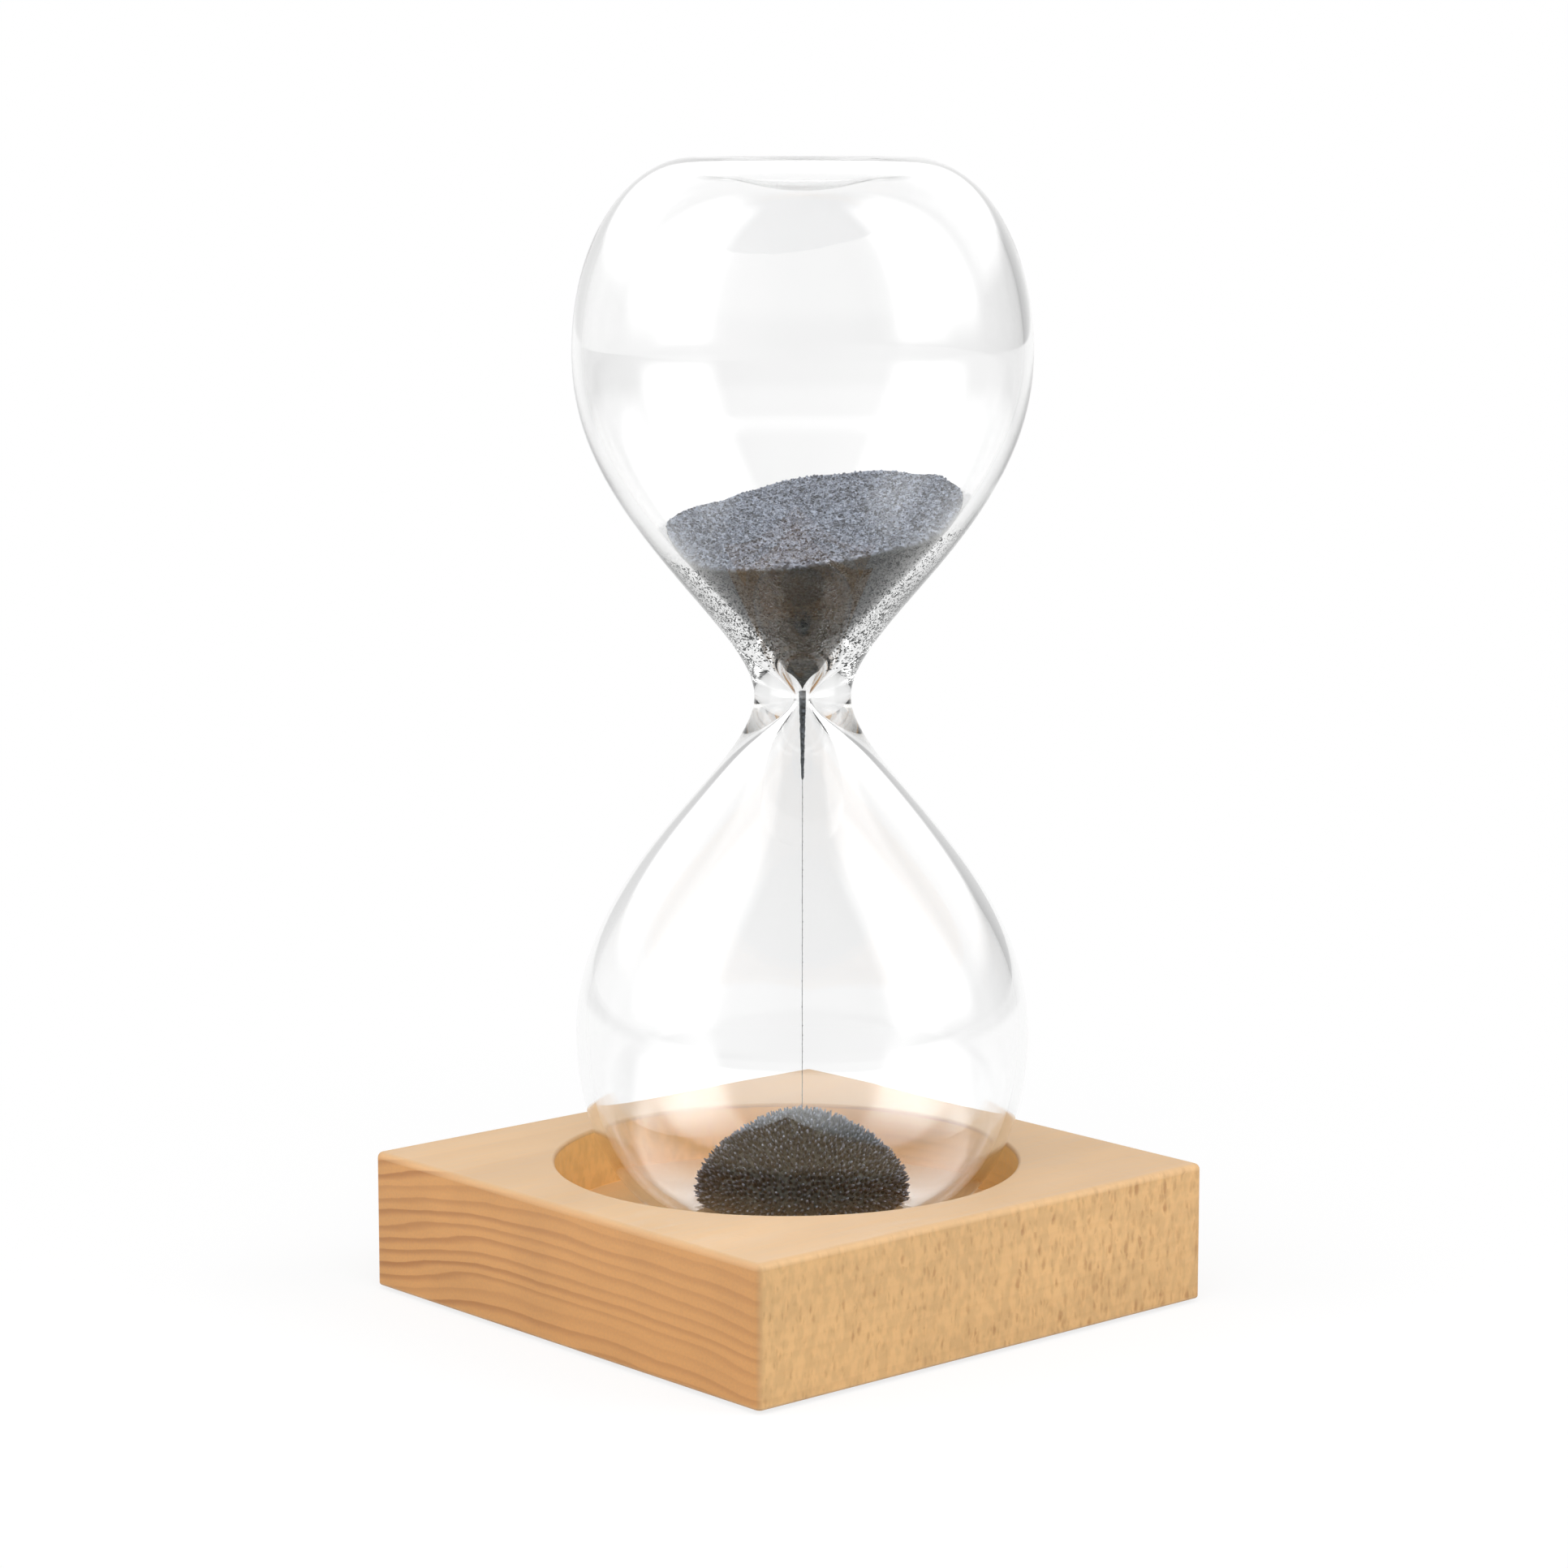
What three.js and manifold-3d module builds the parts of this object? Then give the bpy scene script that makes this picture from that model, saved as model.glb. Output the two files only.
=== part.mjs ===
// Magnetic hourglass: a blown glass timer that stands loose in the round recess of a square beech block.
// A magnet glued into the underside of the block draws the iron filings that run through the glass into
// a dome of spikes. Millimetres, +Z up, origin under the middle of the felt pad that the block stands on.
import * as THREE from "three";
import { mergeVertices } from "three/addons/utils/BufferGeometryUtils.js";
import Module from "manifold-3d";

const wasm = await Module();
wasm.setup();

// Glass: two blown bulbs of one shape, fused at the waist. Heights are taken from the waist.
const BULB_RADIUS = 32.6; // outside, at the belly
const BELLY_HEIGHT = 48.7; // waist to belly
const SHOULDER_HEIGHT = 27.5; // belly to the ring that the glass stands on
const RING_RADIUS = 15; // crown of that ring
const DIMPLE_DEPTH = 2.6; // how far the end is pushed in inside the ring
const WALL = 1.5;
const WAIST_RADIUS = 6.9; // outside, at the waist
const ORIFICE_RADIUS = 0.9;
const SEAL_RADIUS = 2.2; // filling hole in the lower end, melted shut by the seal tip
const SEAL_DROP = 1.2; // how far the rounded tip hangs below the dimple

// Shape factors of the blown curves: each is a share of the curve's own height or reach.
const WAIST_PULL = 0.214;
const THROAT_PULL = 0.165;
const BELLY_PULL = 0.493;
const SHOULDER_PULL = 0.57;
const RING_PULL = 0.57;
const DIMPLE_PULL = 0.5;

// Magnet and the pad that covers it.
const MAGNET_RADIUS = 15;
const MAGNET_HEIGHT = 7;
const MAGNET_CHAMFER = 0.5;
const POCKET_CLEARANCE = 0.2; // round the magnet
const GLUE_HEIGHT = 0.3;
const PAD_SUNK = 1; // depth of the felt's seat in the wood
const PAD_PROUD = 0.6; // how far the felt stands below the wood
const PAD_LAP = 14; // felt beyond the magnet pocket
const PAD_EDGE = 0.3;

// Beech block, sized round the glass above it and the magnet below.
const BASE_WALL = 8.9; // wood between the recess and the middle of each side
const BASE_EASE = 0.9; // radius of the eased edges round the top and the underside
const BASE_CORNER_EXTRA = 0.7; // what the radius of the upright corners adds to that
const RECESS_CLEARANCE = 1; // between the recess and the belly of the glass
const RECESS_DEPTH = 9;
const RECESS_EASE = 0.5; // eased rim of the recess
const RECESS_WEB = 2.4; // wood between the recess and the magnet pocket

// Where the loose glass stands: off the middle of its recess, as a share of the play it has there.
const STANCE_SHARE = 0.38;
const STANCE_ANGLE = 48.5; // degrees from +X towards +Y

// Iron filings.
const HEAP_HEIGHT = 24.6; // upper heap, waist to the middle of its sloping top
const HEAP_SLOPE = 12.6; // degrees
const HEAP_SLOPE_ANGLE = 102; // the high side, in degrees from +X towards +Y
const HEAP_TIP = 1.6; // the heap's lower end, above the waist
const STREAM_RADIUS = 0.2; // where it falls free
const STREAM_NARROWING = 13; // length below the waist over which it narrows from the orifice
const DOME_RADIUS = 14.2; // lower heap without its spikes
const DOME_HEIGHT = 9.9; // dome's middle to its crown
const DOME_LIFT = 0.5; // dome's middle above the crown of the dimple inside the bulb
const DOME_CROWN_POWER = 1.55; // power of the curve over the dome's middle: 2 is an ellipse, 1 a cone
const DOME_FOOT_POWER = 4; // and of the curve under it, which drops almost straight
const SPIKE_LENGTH = 1.7;
const SPIKE_LEAN = 0.35; // how far the spikes turn from square to the dome up along the field

// Small fits.
const REST_GAP = 0.3; // between loose pieces and what they rest on
const FUSE_GAP = 0.1; // drawn at the melted seam of the seal tip

// Facets.
const GLASS_SEGMENTS = 40;
const ROUND_SEGMENTS = 64;
const FLANK_STEPS = 12;
const SHOULDER_STEPS = 8;
const DIMPLE_STEPS = 4;
const ARC_STEPS = 3;
const STREAM_SEGMENTS = 8;
const DOME_DETAIL = 5; // cuts of each edge of the icosahedron behind the dome
const MERGE_TOLERANCE = 1e-4;

// Places worked out from the sizes above.
const bulbHeight = BELLY_HEIGHT + SHOULDER_HEIGHT;
const recessRadius = BULB_RADIUS + RECESS_CLEARANCE;
const baseSide = 2 * (recessRadius + BASE_WALL);
const pocketRadius = MAGNET_RADIUS + POCKET_CLEARANCE;
const padRadius = pocketRadius + PAD_LAP;
const padHeight = PAD_SUNK + PAD_PROUD;
const baseBottom = PAD_PROUD;
const magnetBottom = padHeight + REST_GAP;
const pocketTop = magnetBottom + MAGNET_HEIGHT + GLUE_HEIGHT;
const recessFloor = pocketTop + RECESS_WEB;
const baseTop = recessFloor + RECESS_DEPTH;
const waistLevel = recessFloor + REST_GAP + bulbHeight;

const wood = new THREE.MeshStandardMaterial({ color: 0xdcb27c, roughness: 0.6, metalness: 0 });
const felt = new THREE.MeshStandardMaterial({ color: 0x2f2d2b, roughness: 1, metalness: 0 });
const ferrite = new THREE.MeshStandardMaterial({ color: 0x3a3a3d, roughness: 0.5, metalness: 0.2 });
const glue = new THREE.MeshStandardMaterial({ color: 0xd8cfa8, roughness: 0.3, metalness: 0 });
const glass = new THREE.MeshStandardMaterial({
  color: 0xf2f5f6,
  roughness: 0.02,
  metalness: 0,
  transparent: true,
  opacity: 0.25,
});
const filings = new THREE.MeshStandardMaterial({ color: 0x55585c, roughness: 0.55, metalness: 0.6 });

// A surface of revolution about Z: x of a profile point is its radius, y its height.
function revolve(profile, segments) {
  return new THREE.LatheGeometry(profile, segments).rotateX(Math.PI / 2);
}

// A closed three.js geometry as a solid for cutting and joining.
function toSolid(geometry) {
  const bare = new THREE.BufferGeometry().setAttribute("position", geometry.getAttribute("position"));
  bare.setIndex(geometry.index);
  const merged = mergeVertices(bare, MERGE_TOLERANCE);
  return new wasm.Manifold(
    new wasm.Mesh({
      numProp: 3,
      vertProperties: new Float32Array(merged.getAttribute("position").array),
      triVerts: new Uint32Array(merged.index.array),
    }),
  );
}

function toGeometry(solid) {
  const { vertProperties, triVerts } = solid.getMesh();
  const geometry = new THREE.BufferGeometry();
  geometry.setAttribute("position", new THREE.BufferAttribute(vertProperties, 3));
  geometry.setIndex(new THREE.BufferAttribute(triVerts, 1));
  geometry.computeVertexNormals();
  return geometry;
}

function piece(name, geometry, material) {
  const mesh = new THREE.Mesh(geometry, material);
  mesh.name = name;
  return mesh;
}

const point = (radius, height) => new THREE.Vector2(radius, height);

// A rounded corner of a profile, from one point to another round the corner between them.
function quarterRound(from, corner, to) {
  return new THREE.QuadraticBezierCurve(from, corner, to).getPoints(ARC_STEPS);
}

function plainDisc(radius, bottom, height) {
  const disc = new THREE.CylinderGeometry(radius, radius, height, ROUND_SEGMENTS);
  return disc.rotateX(Math.PI / 2).translate(0, 0, bottom + height / 2);
}

// A disc with both edges cut back, standing on the given level.
function chamferedDisc(radius, bottom, height, chamfer) {
  const top = bottom + height;
  const profile = [
    point(0, bottom),
    point(radius - chamfer, bottom),
    point(radius, bottom + chamfer),
    point(radius, top - chamfer),
    point(radius - chamfer, top),
    point(0, top),
  ];
  return revolve(profile, ROUND_SEGMENTS);
}

// The flank of a bulb's wall, from the waist to the belly, set in from the outside by inset.
function bulbFlank(waistRadius, waistPull, inset) {
  const belly = BULB_RADIUS - inset;
  return new THREE.CubicBezierCurve(
    point(waistRadius, 0),
    point(waistRadius, waistPull * BELLY_HEIGHT),
    point(belly, BELLY_HEIGHT * (1 - BELLY_PULL)),
    point(belly, BELLY_HEIGHT),
  ).getPoints(FLANK_STEPS);
}

// The rest of the wall, from the belly over the shoulder and the ring to the pushed-in end.
function bulbEnd(inset, endRadius) {
  const belly = BULB_RADIUS - inset;
  const top = bulbHeight - inset;
  const crown = top - DIMPLE_DEPTH;
  const shoulder = new THREE.CubicBezierCurve(
    point(belly, BELLY_HEIGHT),
    point(belly, BELLY_HEIGHT + SHOULDER_PULL * (SHOULDER_HEIGHT - inset)),
    point(RING_RADIUS + RING_PULL * (belly - RING_RADIUS), top),
    point(RING_RADIUS, top),
  ).getPoints(SHOULDER_STEPS);
  const dimple = new THREE.CubicBezierCurve(
    point(RING_RADIUS, top),
    point(RING_RADIUS * (1 - DIMPLE_PULL), top),
    point(endRadius + DIMPLE_PULL * (RING_RADIUS - endRadius), crown),
    point(endRadius, crown),
  ).getPoints(DIMPLE_STEPS);
  return [...shoulder.slice(1), ...dimple.slice(1)];
}

function outerWall(endRadius) {
  return [...bulbFlank(WAIST_RADIUS, WAIST_PULL, 0), ...bulbEnd(0, endRadius)];
}

function innerWall(inset, endRadius) {
  const throat = ORIFICE_RADIUS + WALL - inset;
  return [...bulbFlank(throat, THROAT_PULL, inset), ...bulbEnd(inset, endRadius)];
}

// A bulb's glass: side 1 rises from the waist, and side -1 hangs below it.
function bulb(endRadius, side) {
  const profile = [...innerWall(WALL, endRadius).reverse(), ...outerWall(endRadius)];
  if (endRadius > 0) profile.push(profile[0].clone());
  const placed = profile.map((p) => point(p.x, side * p.y));
  return revolve(side > 0 ? placed : placed.reverse(), GLASS_SEGMENTS);
}

// The space in a bulb that filings can fill, kept clear of the glass.
function bulbSpace(endRadius, side) {
  const wall = innerWall(WALL + REST_GAP, endRadius);
  const profile = [point(0, 0), ...wall, point(0, wall.at(-1).y)];
  const placed = profile.map((p) => point(p.x, side * p.y));
  return toSolid(revolve(side > 0 ? placed : placed.reverse(), GLASS_SEGMENTS));
}

function baseBlock() {
  const half = baseSide / 2 - BASE_EASE;
  const round = BASE_CORNER_EXTRA;
  const outline = new THREE.Shape();
  outline.moveTo(-half + round, -half);
  outline.lineTo(half - round, -half);
  outline.absarc(half - round, -half + round, round, -Math.PI / 2, 0);
  outline.lineTo(half, half - round);
  outline.absarc(half - round, half - round, round, 0, Math.PI / 2);
  outline.lineTo(-half + round, half);
  outline.absarc(-half + round, half - round, round, Math.PI / 2, Math.PI);
  outline.lineTo(-half, -half + round);
  outline.absarc(-half + round, -half + round, round, Math.PI, 1.5 * Math.PI);
  const block = new THREE.ExtrudeGeometry(outline, {
    depth: baseTop - baseBottom - 2 * BASE_EASE,
    bevelThickness: BASE_EASE,
    bevelSize: BASE_EASE,
    bevelSegments: ARC_STEPS,
    curveSegments: ARC_STEPS,
  }).translate(0, 0, baseBottom + BASE_EASE);

  const above = baseTop + RECESS_DEPTH;
  const recess = [
    point(0, recessFloor),
    point(recessRadius, recessFloor),
    ...quarterRound(
      point(recessRadius, baseTop - RECESS_EASE),
      point(recessRadius, baseTop),
      point(recessRadius + RECESS_EASE, baseTop),
    ),
    point(recessRadius + RECESS_EASE, above),
    point(0, above),
  ];
  const below = -padHeight;
  const pocket = [
    point(0, below),
    point(padRadius + REST_GAP, below),
    point(padRadius + REST_GAP, padHeight),
    point(pocketRadius, padHeight),
    point(pocketRadius, pocketTop),
    point(0, pocketTop),
  ];
  return toGeometry(
    toSolid(block)
      .subtract(toSolid(revolve(recess, ROUND_SEGMENTS)))
      .subtract(toSolid(revolve(pocket, ROUND_SEGMENTS))),
  );
}

// The melted tip: a stem in the filling hole that ends in a rounded drop under the dimple.
function sealTip() {
  const crown = -(bulbHeight - DIMPLE_DEPTH);
  const stem = SEAL_RADIUS - FUSE_GAP;
  const profile = [
    ...quarterRound(point(0, crown - SEAL_DROP), point(stem, crown - SEAL_DROP), point(stem, crown)),
    point(stem, crown + WALL),
    point(0, crown + WALL),
  ];
  return revolve(profile, GLASS_SEGMENTS);
}

// The filings still to run: the funnel of the upper bulb, filled up to a sloping top.
function upperHeap() {
  const reach = 2 * BULB_RADIUS;
  const away = new THREE.Matrix4()
    .makeTranslation(0, 0, HEAP_HEIGHT)
    .multiply(new THREE.Matrix4().makeRotationZ(THREE.MathUtils.degToRad(HEAP_SLOPE_ANGLE)))
    .multiply(new THREE.Matrix4().makeRotationY(-THREE.MathUtils.degToRad(HEAP_SLOPE)));
  const above = new THREE.BoxGeometry(2 * reach, 2 * reach, reach).translate(0, 0, reach / 2);
  const tip = new THREE.BoxGeometry(reach, reach, reach).translate(0, 0, HEAP_TIP - reach / 2);
  return toGeometry(bulbSpace(0, 1).subtract(toSolid(above.applyMatrix4(away))).subtract(toSolid(tip)));
}

// A corner of the unit sphere, moved out or in to the dome.
function domeCorner(corner) {
  const power = corner.z > 0 ? DOME_CROWN_POWER : DOME_FOOT_POWER;
  const reach = Math.hypot(corner.x, corner.y);
  corner.divideScalar((reach ** power + Math.abs(corner.z) ** power) ** (1 / power));
  return corner.multiply(new THREE.Vector3(DOME_RADIUS, DOME_RADIUS, DOME_HEIGHT));
}

// The tip of the spike on one facet of the dome: out along the facet's normal, turned up by the lean.
function spikeTip(facet) {
  const triangle = new THREE.Triangle(...facet);
  const outward = triangle.getNormal(new THREE.Vector3());
  outward.z += SPIKE_LEAN;
  const tip = triangle.getMidpoint(new THREE.Vector3());
  return tip.addScaledVector(outward.normalize(), SPIKE_LENGTH);
}

// The filings that have run: a dome over the magnet, with each facet that shows drawn out into a spike.
function lowerHeap() {
  const bulbFloor = WALL - bulbHeight;
  const middle = bulbFloor + DIMPLE_DEPTH + DOME_LIFT;
  const lowestTip = bulbFloor + SPIKE_LENGTH - middle;
  const corners = new THREE.IcosahedronGeometry(1, DOME_DETAIL).getAttribute("position");
  const points = [];
  for (let i = 0; i < corners.count; i += 3) {
    const facet = [i, i + 1, i + 2]
      .map((k) => new THREE.Vector3().fromBufferAttribute(corners, k))
      .map((corner) => domeCorner(corner));
    const [a, b, c] = facet;
    const tip = spikeTip(facet);
    if (tip.z > lowestTip) points.push(a, b, tip, b, c, tip, c, a, tip);
    else points.push(a, b, c);
  }
  const spiked = new THREE.BufferGeometry().setFromPoints(points).translate(0, 0, middle);
  return toGeometry(toSolid(spiked).intersect(bulbSpace(SEAL_RADIUS, -1)));
}

// The falling thread of filings, from under the upper heap through the orifice to just above the dome.
function stream(domeTop) {
  const top = HEAP_TIP - REST_GAP;
  const bottom = domeTop + REST_GAP;
  const neck = ORIFICE_RADIUS - REST_GAP;
  const profile = [
    point(0, bottom),
    point(STREAM_RADIUS, bottom),
    point(STREAM_RADIUS, -STREAM_NARROWING),
    point(neck, 0),
    point(neck, top),
    point(0, top),
  ];
  return revolve(profile, STREAM_SEGMENTS);
}

const base = new THREE.Group();
base.add(
  piece("base_block", baseBlock(), wood),
  piece("magnet", chamferedDisc(MAGNET_RADIUS, magnetBottom, MAGNET_HEIGHT, MAGNET_CHAMFER), ferrite),
  piece("magnet_glue", plainDisc(MAGNET_RADIUS, magnetBottom + MAGNET_HEIGHT, GLUE_HEIGHT), glue),
  piece("felt_pad", chamferedDisc(padRadius, 0, padHeight, PAD_EDGE), felt),
);

const dome = lowerHeap();
dome.computeBoundingBox();
const timer = new THREE.Group();
timer.add(
  piece("upper_bulb", bulb(0, 1), glass),
  piece("lower_bulb", bulb(SEAL_RADIUS, -1), glass),
  piece("seal_tip", sealTip(), glass),
  piece("upper_filings", upperHeap(), filings),
  piece("filings_stream", stream(dome.boundingBox.max.z), filings),
  piece("lower_filings", dome, filings),
);

// The glass narrows towards its ring, so at the rim of the recess it has room to stand off the middle.
const rimPoint = outerWall(0).find((p) => p.y > bulbHeight - RECESS_DEPTH);
const stance = STANCE_SHARE * (recessRadius - rimPoint.x);
const stanceAngle = THREE.MathUtils.degToRad(STANCE_ANGLE);
timer.position.set(stance * Math.cos(stanceAngle), stance * Math.sin(stanceAngle), waistLevel);

const hourglass = new THREE.Group();
hourglass.add(base, timer);
export default hourglass;
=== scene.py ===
"""Looks of the magnetic hourglass: a blown glass timer that stands loose in a square beech block.

Laid out as an add-on and run as a script. Metres, in the frame of the packed model.
"""

import math

import bmesh
import bpy
from bpy.props import FloatProperty, FloatVectorProperty, IntProperty, PointerProperty
from mathutils import Matrix, Vector, noise


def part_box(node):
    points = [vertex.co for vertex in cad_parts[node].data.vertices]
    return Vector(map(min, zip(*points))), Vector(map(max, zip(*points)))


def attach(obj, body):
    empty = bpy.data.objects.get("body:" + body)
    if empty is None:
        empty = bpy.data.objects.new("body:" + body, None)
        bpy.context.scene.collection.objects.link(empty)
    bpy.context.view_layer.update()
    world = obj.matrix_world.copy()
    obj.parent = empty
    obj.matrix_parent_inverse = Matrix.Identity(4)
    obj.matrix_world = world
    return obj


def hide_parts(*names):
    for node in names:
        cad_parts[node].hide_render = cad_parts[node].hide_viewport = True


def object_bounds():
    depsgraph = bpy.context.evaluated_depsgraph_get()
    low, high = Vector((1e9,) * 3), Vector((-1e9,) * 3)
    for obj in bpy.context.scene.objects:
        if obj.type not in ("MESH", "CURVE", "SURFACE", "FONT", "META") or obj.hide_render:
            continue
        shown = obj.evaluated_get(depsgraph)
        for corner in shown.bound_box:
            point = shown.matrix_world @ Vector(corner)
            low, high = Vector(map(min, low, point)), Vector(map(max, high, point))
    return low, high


bl_info = {
    "name": "Magnetic hourglass",
    "version": (1, 0, 0),
    "blender": (4, 5, 0),
    "location": "View3D > Sidebar > Hourglass",
    "description": "Dresses the packed hourglass with glass, beech and iron filings",
    "category": "Object",
}

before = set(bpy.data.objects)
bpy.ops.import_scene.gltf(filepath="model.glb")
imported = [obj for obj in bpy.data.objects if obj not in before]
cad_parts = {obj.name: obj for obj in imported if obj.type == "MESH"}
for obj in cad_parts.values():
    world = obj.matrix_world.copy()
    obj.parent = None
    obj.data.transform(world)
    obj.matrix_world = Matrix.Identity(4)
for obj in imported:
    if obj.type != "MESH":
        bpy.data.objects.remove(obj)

MM = 0.001

# Boxes of the packed pieces that the looks are fitted to.
CAD_LOW, CAD_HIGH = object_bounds()
BLOCK_LOW, BLOCK_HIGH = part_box("base_block")
MAGNET_LOW, MAGNET_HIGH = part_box("magnet")
_, GLUE_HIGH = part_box("magnet_glue")
PAD_LOW, PAD_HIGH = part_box("felt_pad")
BULB_LOW, BULB_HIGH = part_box("upper_bulb")
HEAP_LOW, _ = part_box("upper_filings")
STREAM_LOW, STREAM_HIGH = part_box("filings_stream")

# The glass turns about an upright axis through its waist.
WAIST = Vector(((BULB_LOW.x + BULB_HIGH.x) / 2, (BULB_LOW.y + BULB_HIGH.y) / 2, BULB_LOW.z))
BULB_RADIUS = (BULB_HIGH.x - BULB_LOW.x) / 2
BULB_HEIGHT = BULB_HIGH.z - BULB_LOW.z

# Width of the photograph, and of the camera's sensor in millimetres.
IMAGE_PIXELS = 1932
SENSOR = 36.0
WHITE = (1.0, 1.0, 1.0, 1.0)


def length_setting(name, description, size):
    """A length that a user can set, given in millimetres."""
    return FloatProperty(name=name, description=description, default=size * MM, unit="LENGTH")


def angle_setting(name, description, degrees):
    """An angle that a user can set."""
    return FloatProperty(name=name, description=description, default=math.radians(degrees), subtype="ANGLE")


def number_setting(name, description, value):
    """A plain number that a user can set."""
    return FloatProperty(name=name, description=description, default=value)


def colour_setting(name, description, shade):
    """A colour that a user can set."""
    return FloatVectorProperty(name=name, description=description, default=shade, subtype="COLOR")


class GlassSizes(bpy.types.PropertyGroup):
    """Shape of the blown glass. Heights are taken from the waist."""

    wall: length_setting("Wall", "Thickness of the blown wall", 1.5)
    waist_radius: length_setting("Waist", "Outer radius at the waist", 6.9)
    orifice_radius: length_setting("Orifice", "Radius of the hole at the waist", 0.9)
    belly_height: length_setting("Belly", "Height of the widest place", 48.7)
    ring_radius: length_setting("Ring", "Ring that the glass stands on", 15)
    dimple_depth: length_setting("Dimple", "How far the end is pushed in", 2.6)
    seal_radius: length_setting("Seal", "Radius of the melted tip", 2.2)
    seal_drop: length_setting("Seal drop", "How far the melted tip hangs", 1.2)
    unevenness: length_setting("Unevenness", "Slow waves in the blown wall", 0.08)


class BlockSizes(bpy.types.PropertyGroup):
    """Shape of the beech block."""

    recess_wall: length_setting("Recess wall", "Wood between recess and side", 8.9)
    recess_depth: length_setting("Recess depth", "Depth of the round recess", 9)
    recess_ease: length_setting("Recess ease", "Radius of the recess's rim", 0.5)
    edge_ease: length_setting("Edge ease", "Radius of the upper edges", 0.9)
    foot_ease: length_setting("Foot ease", "Radius of the lower edges", 0.4)
    corner_radius: length_setting("Corners", "Radius of the upright corners", 0.9)
    fit: length_setting("Fit", "Play round the magnet and the felt", 0.25)


class FilingsSizes(bpy.types.PropertyGroup):
    """Shape of the heaps of iron filings."""

    clearance: length_setting("Clearance", "Between the filings and the glass", 0.12)
    heap_height: length_setting("Heap", "Waist to the middle of the top", 24.3)
    heap_slope: angle_setting("Slope", "Slope of the upper heap", 12.2)
    heap_side: angle_setting("High side", "Highest at", 97.8)
    heap_lip: length_setting("Lip", "How far the low side climbs the glass", 2.2)
    grain: length_setting("Grain", "Size of a loose grain", 0.46)
    thread_neck: length_setting("Thread neck", "Radius in the waist", 0.5)
    thread_end: length_setting("Thread end", "Radius where it parts", 0.17)
    thread_core: length_setting("Thread", "Radius of the free thread", 0.035)
    thread_narrowing: length_setting("Narrowing", "Length of the thick start", 12)
    dome_radius: length_setting("Dome radius", "Without its spikes", 14.7)
    dome_height: length_setting("Dome height", "Its middle to its crown", 10.5)
    dome_lift: length_setting("Dome lift", "Its middle above the dimple", 0.5)
    crown_power: number_setting("Crown power", "Of the curve above its middle: 2 is an ellipse", 1.55)
    foot_power: number_setting("Foot power", "Of the curve under its middle", 4.0)
    spike_length: length_setting("Spike", "Length of a spike", 1.1)
    spike_spacing: length_setting("Spike spacing", "Least distance between spikes", 0.68)
    spike_lean: number_setting("Spike lean", "How far spikes turn up along the field", 0.12)
    seed: IntProperty(name="Seed", description="Seed of everything that varies", default=7)


class FinishColours(bpy.types.PropertyGroup):
    """Colours of the finishes."""

    beech_top: colour_setting("Beech top", "Flat-sawn face", (0.715, 0.475, 0.262))
    beech_side: colour_setting("Beech side", "Face with flecks", (0.71, 0.435, 0.19))
    beech_end: colour_setting("Beech end", "End grain", (0.66, 0.33, 0.117))
    # Own warm tone of the turned recess, brightened as painted light in the recess.
    beech_turned_painted_light: colour_setting("Beech turned", "Turned recess", (0.9, 0.535, 0.2))
    beech_ring: colour_setting("Beech ring", "Late wood", (0.40, 0.165, 0.05))
    beech_fleck: colour_setting("Beech fleck", "Ray fleck", (0.40, 0.19, 0.065))
    iron_dark: colour_setting("Iron dark", "Dull filings", (0.04, 0.045, 0.055))
    iron_light: colour_setting("Iron light", "Bright filings", (0.46, 0.51, 0.62))
    # Painted shade of packed filings, with an olive tint that stands in for light bounced from the wood.
    iron_painted_shade: colour_setting("Iron packed", "Packed filings", (0.030, 0.035, 0.029))
    felt: colour_setting("Felt", "Pressed felt", (0.035, 0.033, 0.031))
    ferrite: colour_setting("Ferrite", "Ground magnet", (0.045, 0.045, 0.05))
    glue: colour_setting("Glue", "Set adhesive", (0.68, 0.57, 0.36))


class StageSettings(bpy.types.PropertyGroup):
    """Camera and studio."""

    focal_pixels: number_setting("Focal length", "In pixels of the photograph", 5398.85)
    azimuth: angle_setting("Azimuth", "Round from the -Y side", 48.5)
    elevation: angle_setting("Elevation", "Above the table", 8.836)
    distance: length_setting("Distance", "Camera to its aim", 626.6)
    aim: FloatVectorProperty(
        name="Aim",
        description="What the camera looks at",
        default=(0.3 * MM, -0.73 * MM, 75.5 * MM),
        subtype="TRANSLATION",
    )
    fill: number_setting("Fill", "Light from all round", 0.3)
    room: number_setting("Room", "The room that the glass mirrors", 0.2)
    table: number_setting("Table", "The far part of the table that the glass mirrors", 0.5)
    inside: number_setting("Inside", "The room mirrored inside the glass", 0.6)
    pane: number_setting("Pane", "The softboxes that the glass mirrors", 3.2)
    backdrop: number_setting("Backdrop", "The wall behind the object, mirrored", 2.6)
    strip: number_setting("Strip", "The table beside the block, mirrored", 2.1)
    # Strength of the painted sheen on the table near the block.
    painted_sheen: number_setting("Gloss", "The table's shine near the block, mirrored", 5.0)


# Meshes.


def place_object(name, mesh):
    """A new object for a mesh, at the origin of the frame."""
    thing = bpy.data.objects.new(name, mesh)
    bpy.context.scene.collection.objects.link(thing)
    return thing


def bezier(start, first, second, end, steps):
    """Points of a cubic curve in the plane of radius and height, without its first point."""
    points = []
    for k in range(1, steps + 1):
        t = k / steps
        weights = ((1 - t) ** 3, 3 * t * (1 - t) ** 2, 3 * t * t * (1 - t), t**3)
        corners = (start, first, second, end)
        points.append(tuple(sum(w * c[i] for w, c in zip(weights, corners)) for i in (0, 1)))
    return points


def upright(height):
    """A vector straight up."""
    return Vector((0, 0, height))


def round_point(radius, turn, level):
    """A point at a radius and a turn from the upright through the origin."""
    return Vector((radius * math.cos(turn), radius * math.sin(turn), level))


def turned_ring(radius, level, centre, segments):
    """Points of a level circle, anticlockwise from above."""
    turns = (math.tau * k / segments for k in range(segments))
    return [centre + round_point(radius, a, level) for a in turns]


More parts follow.
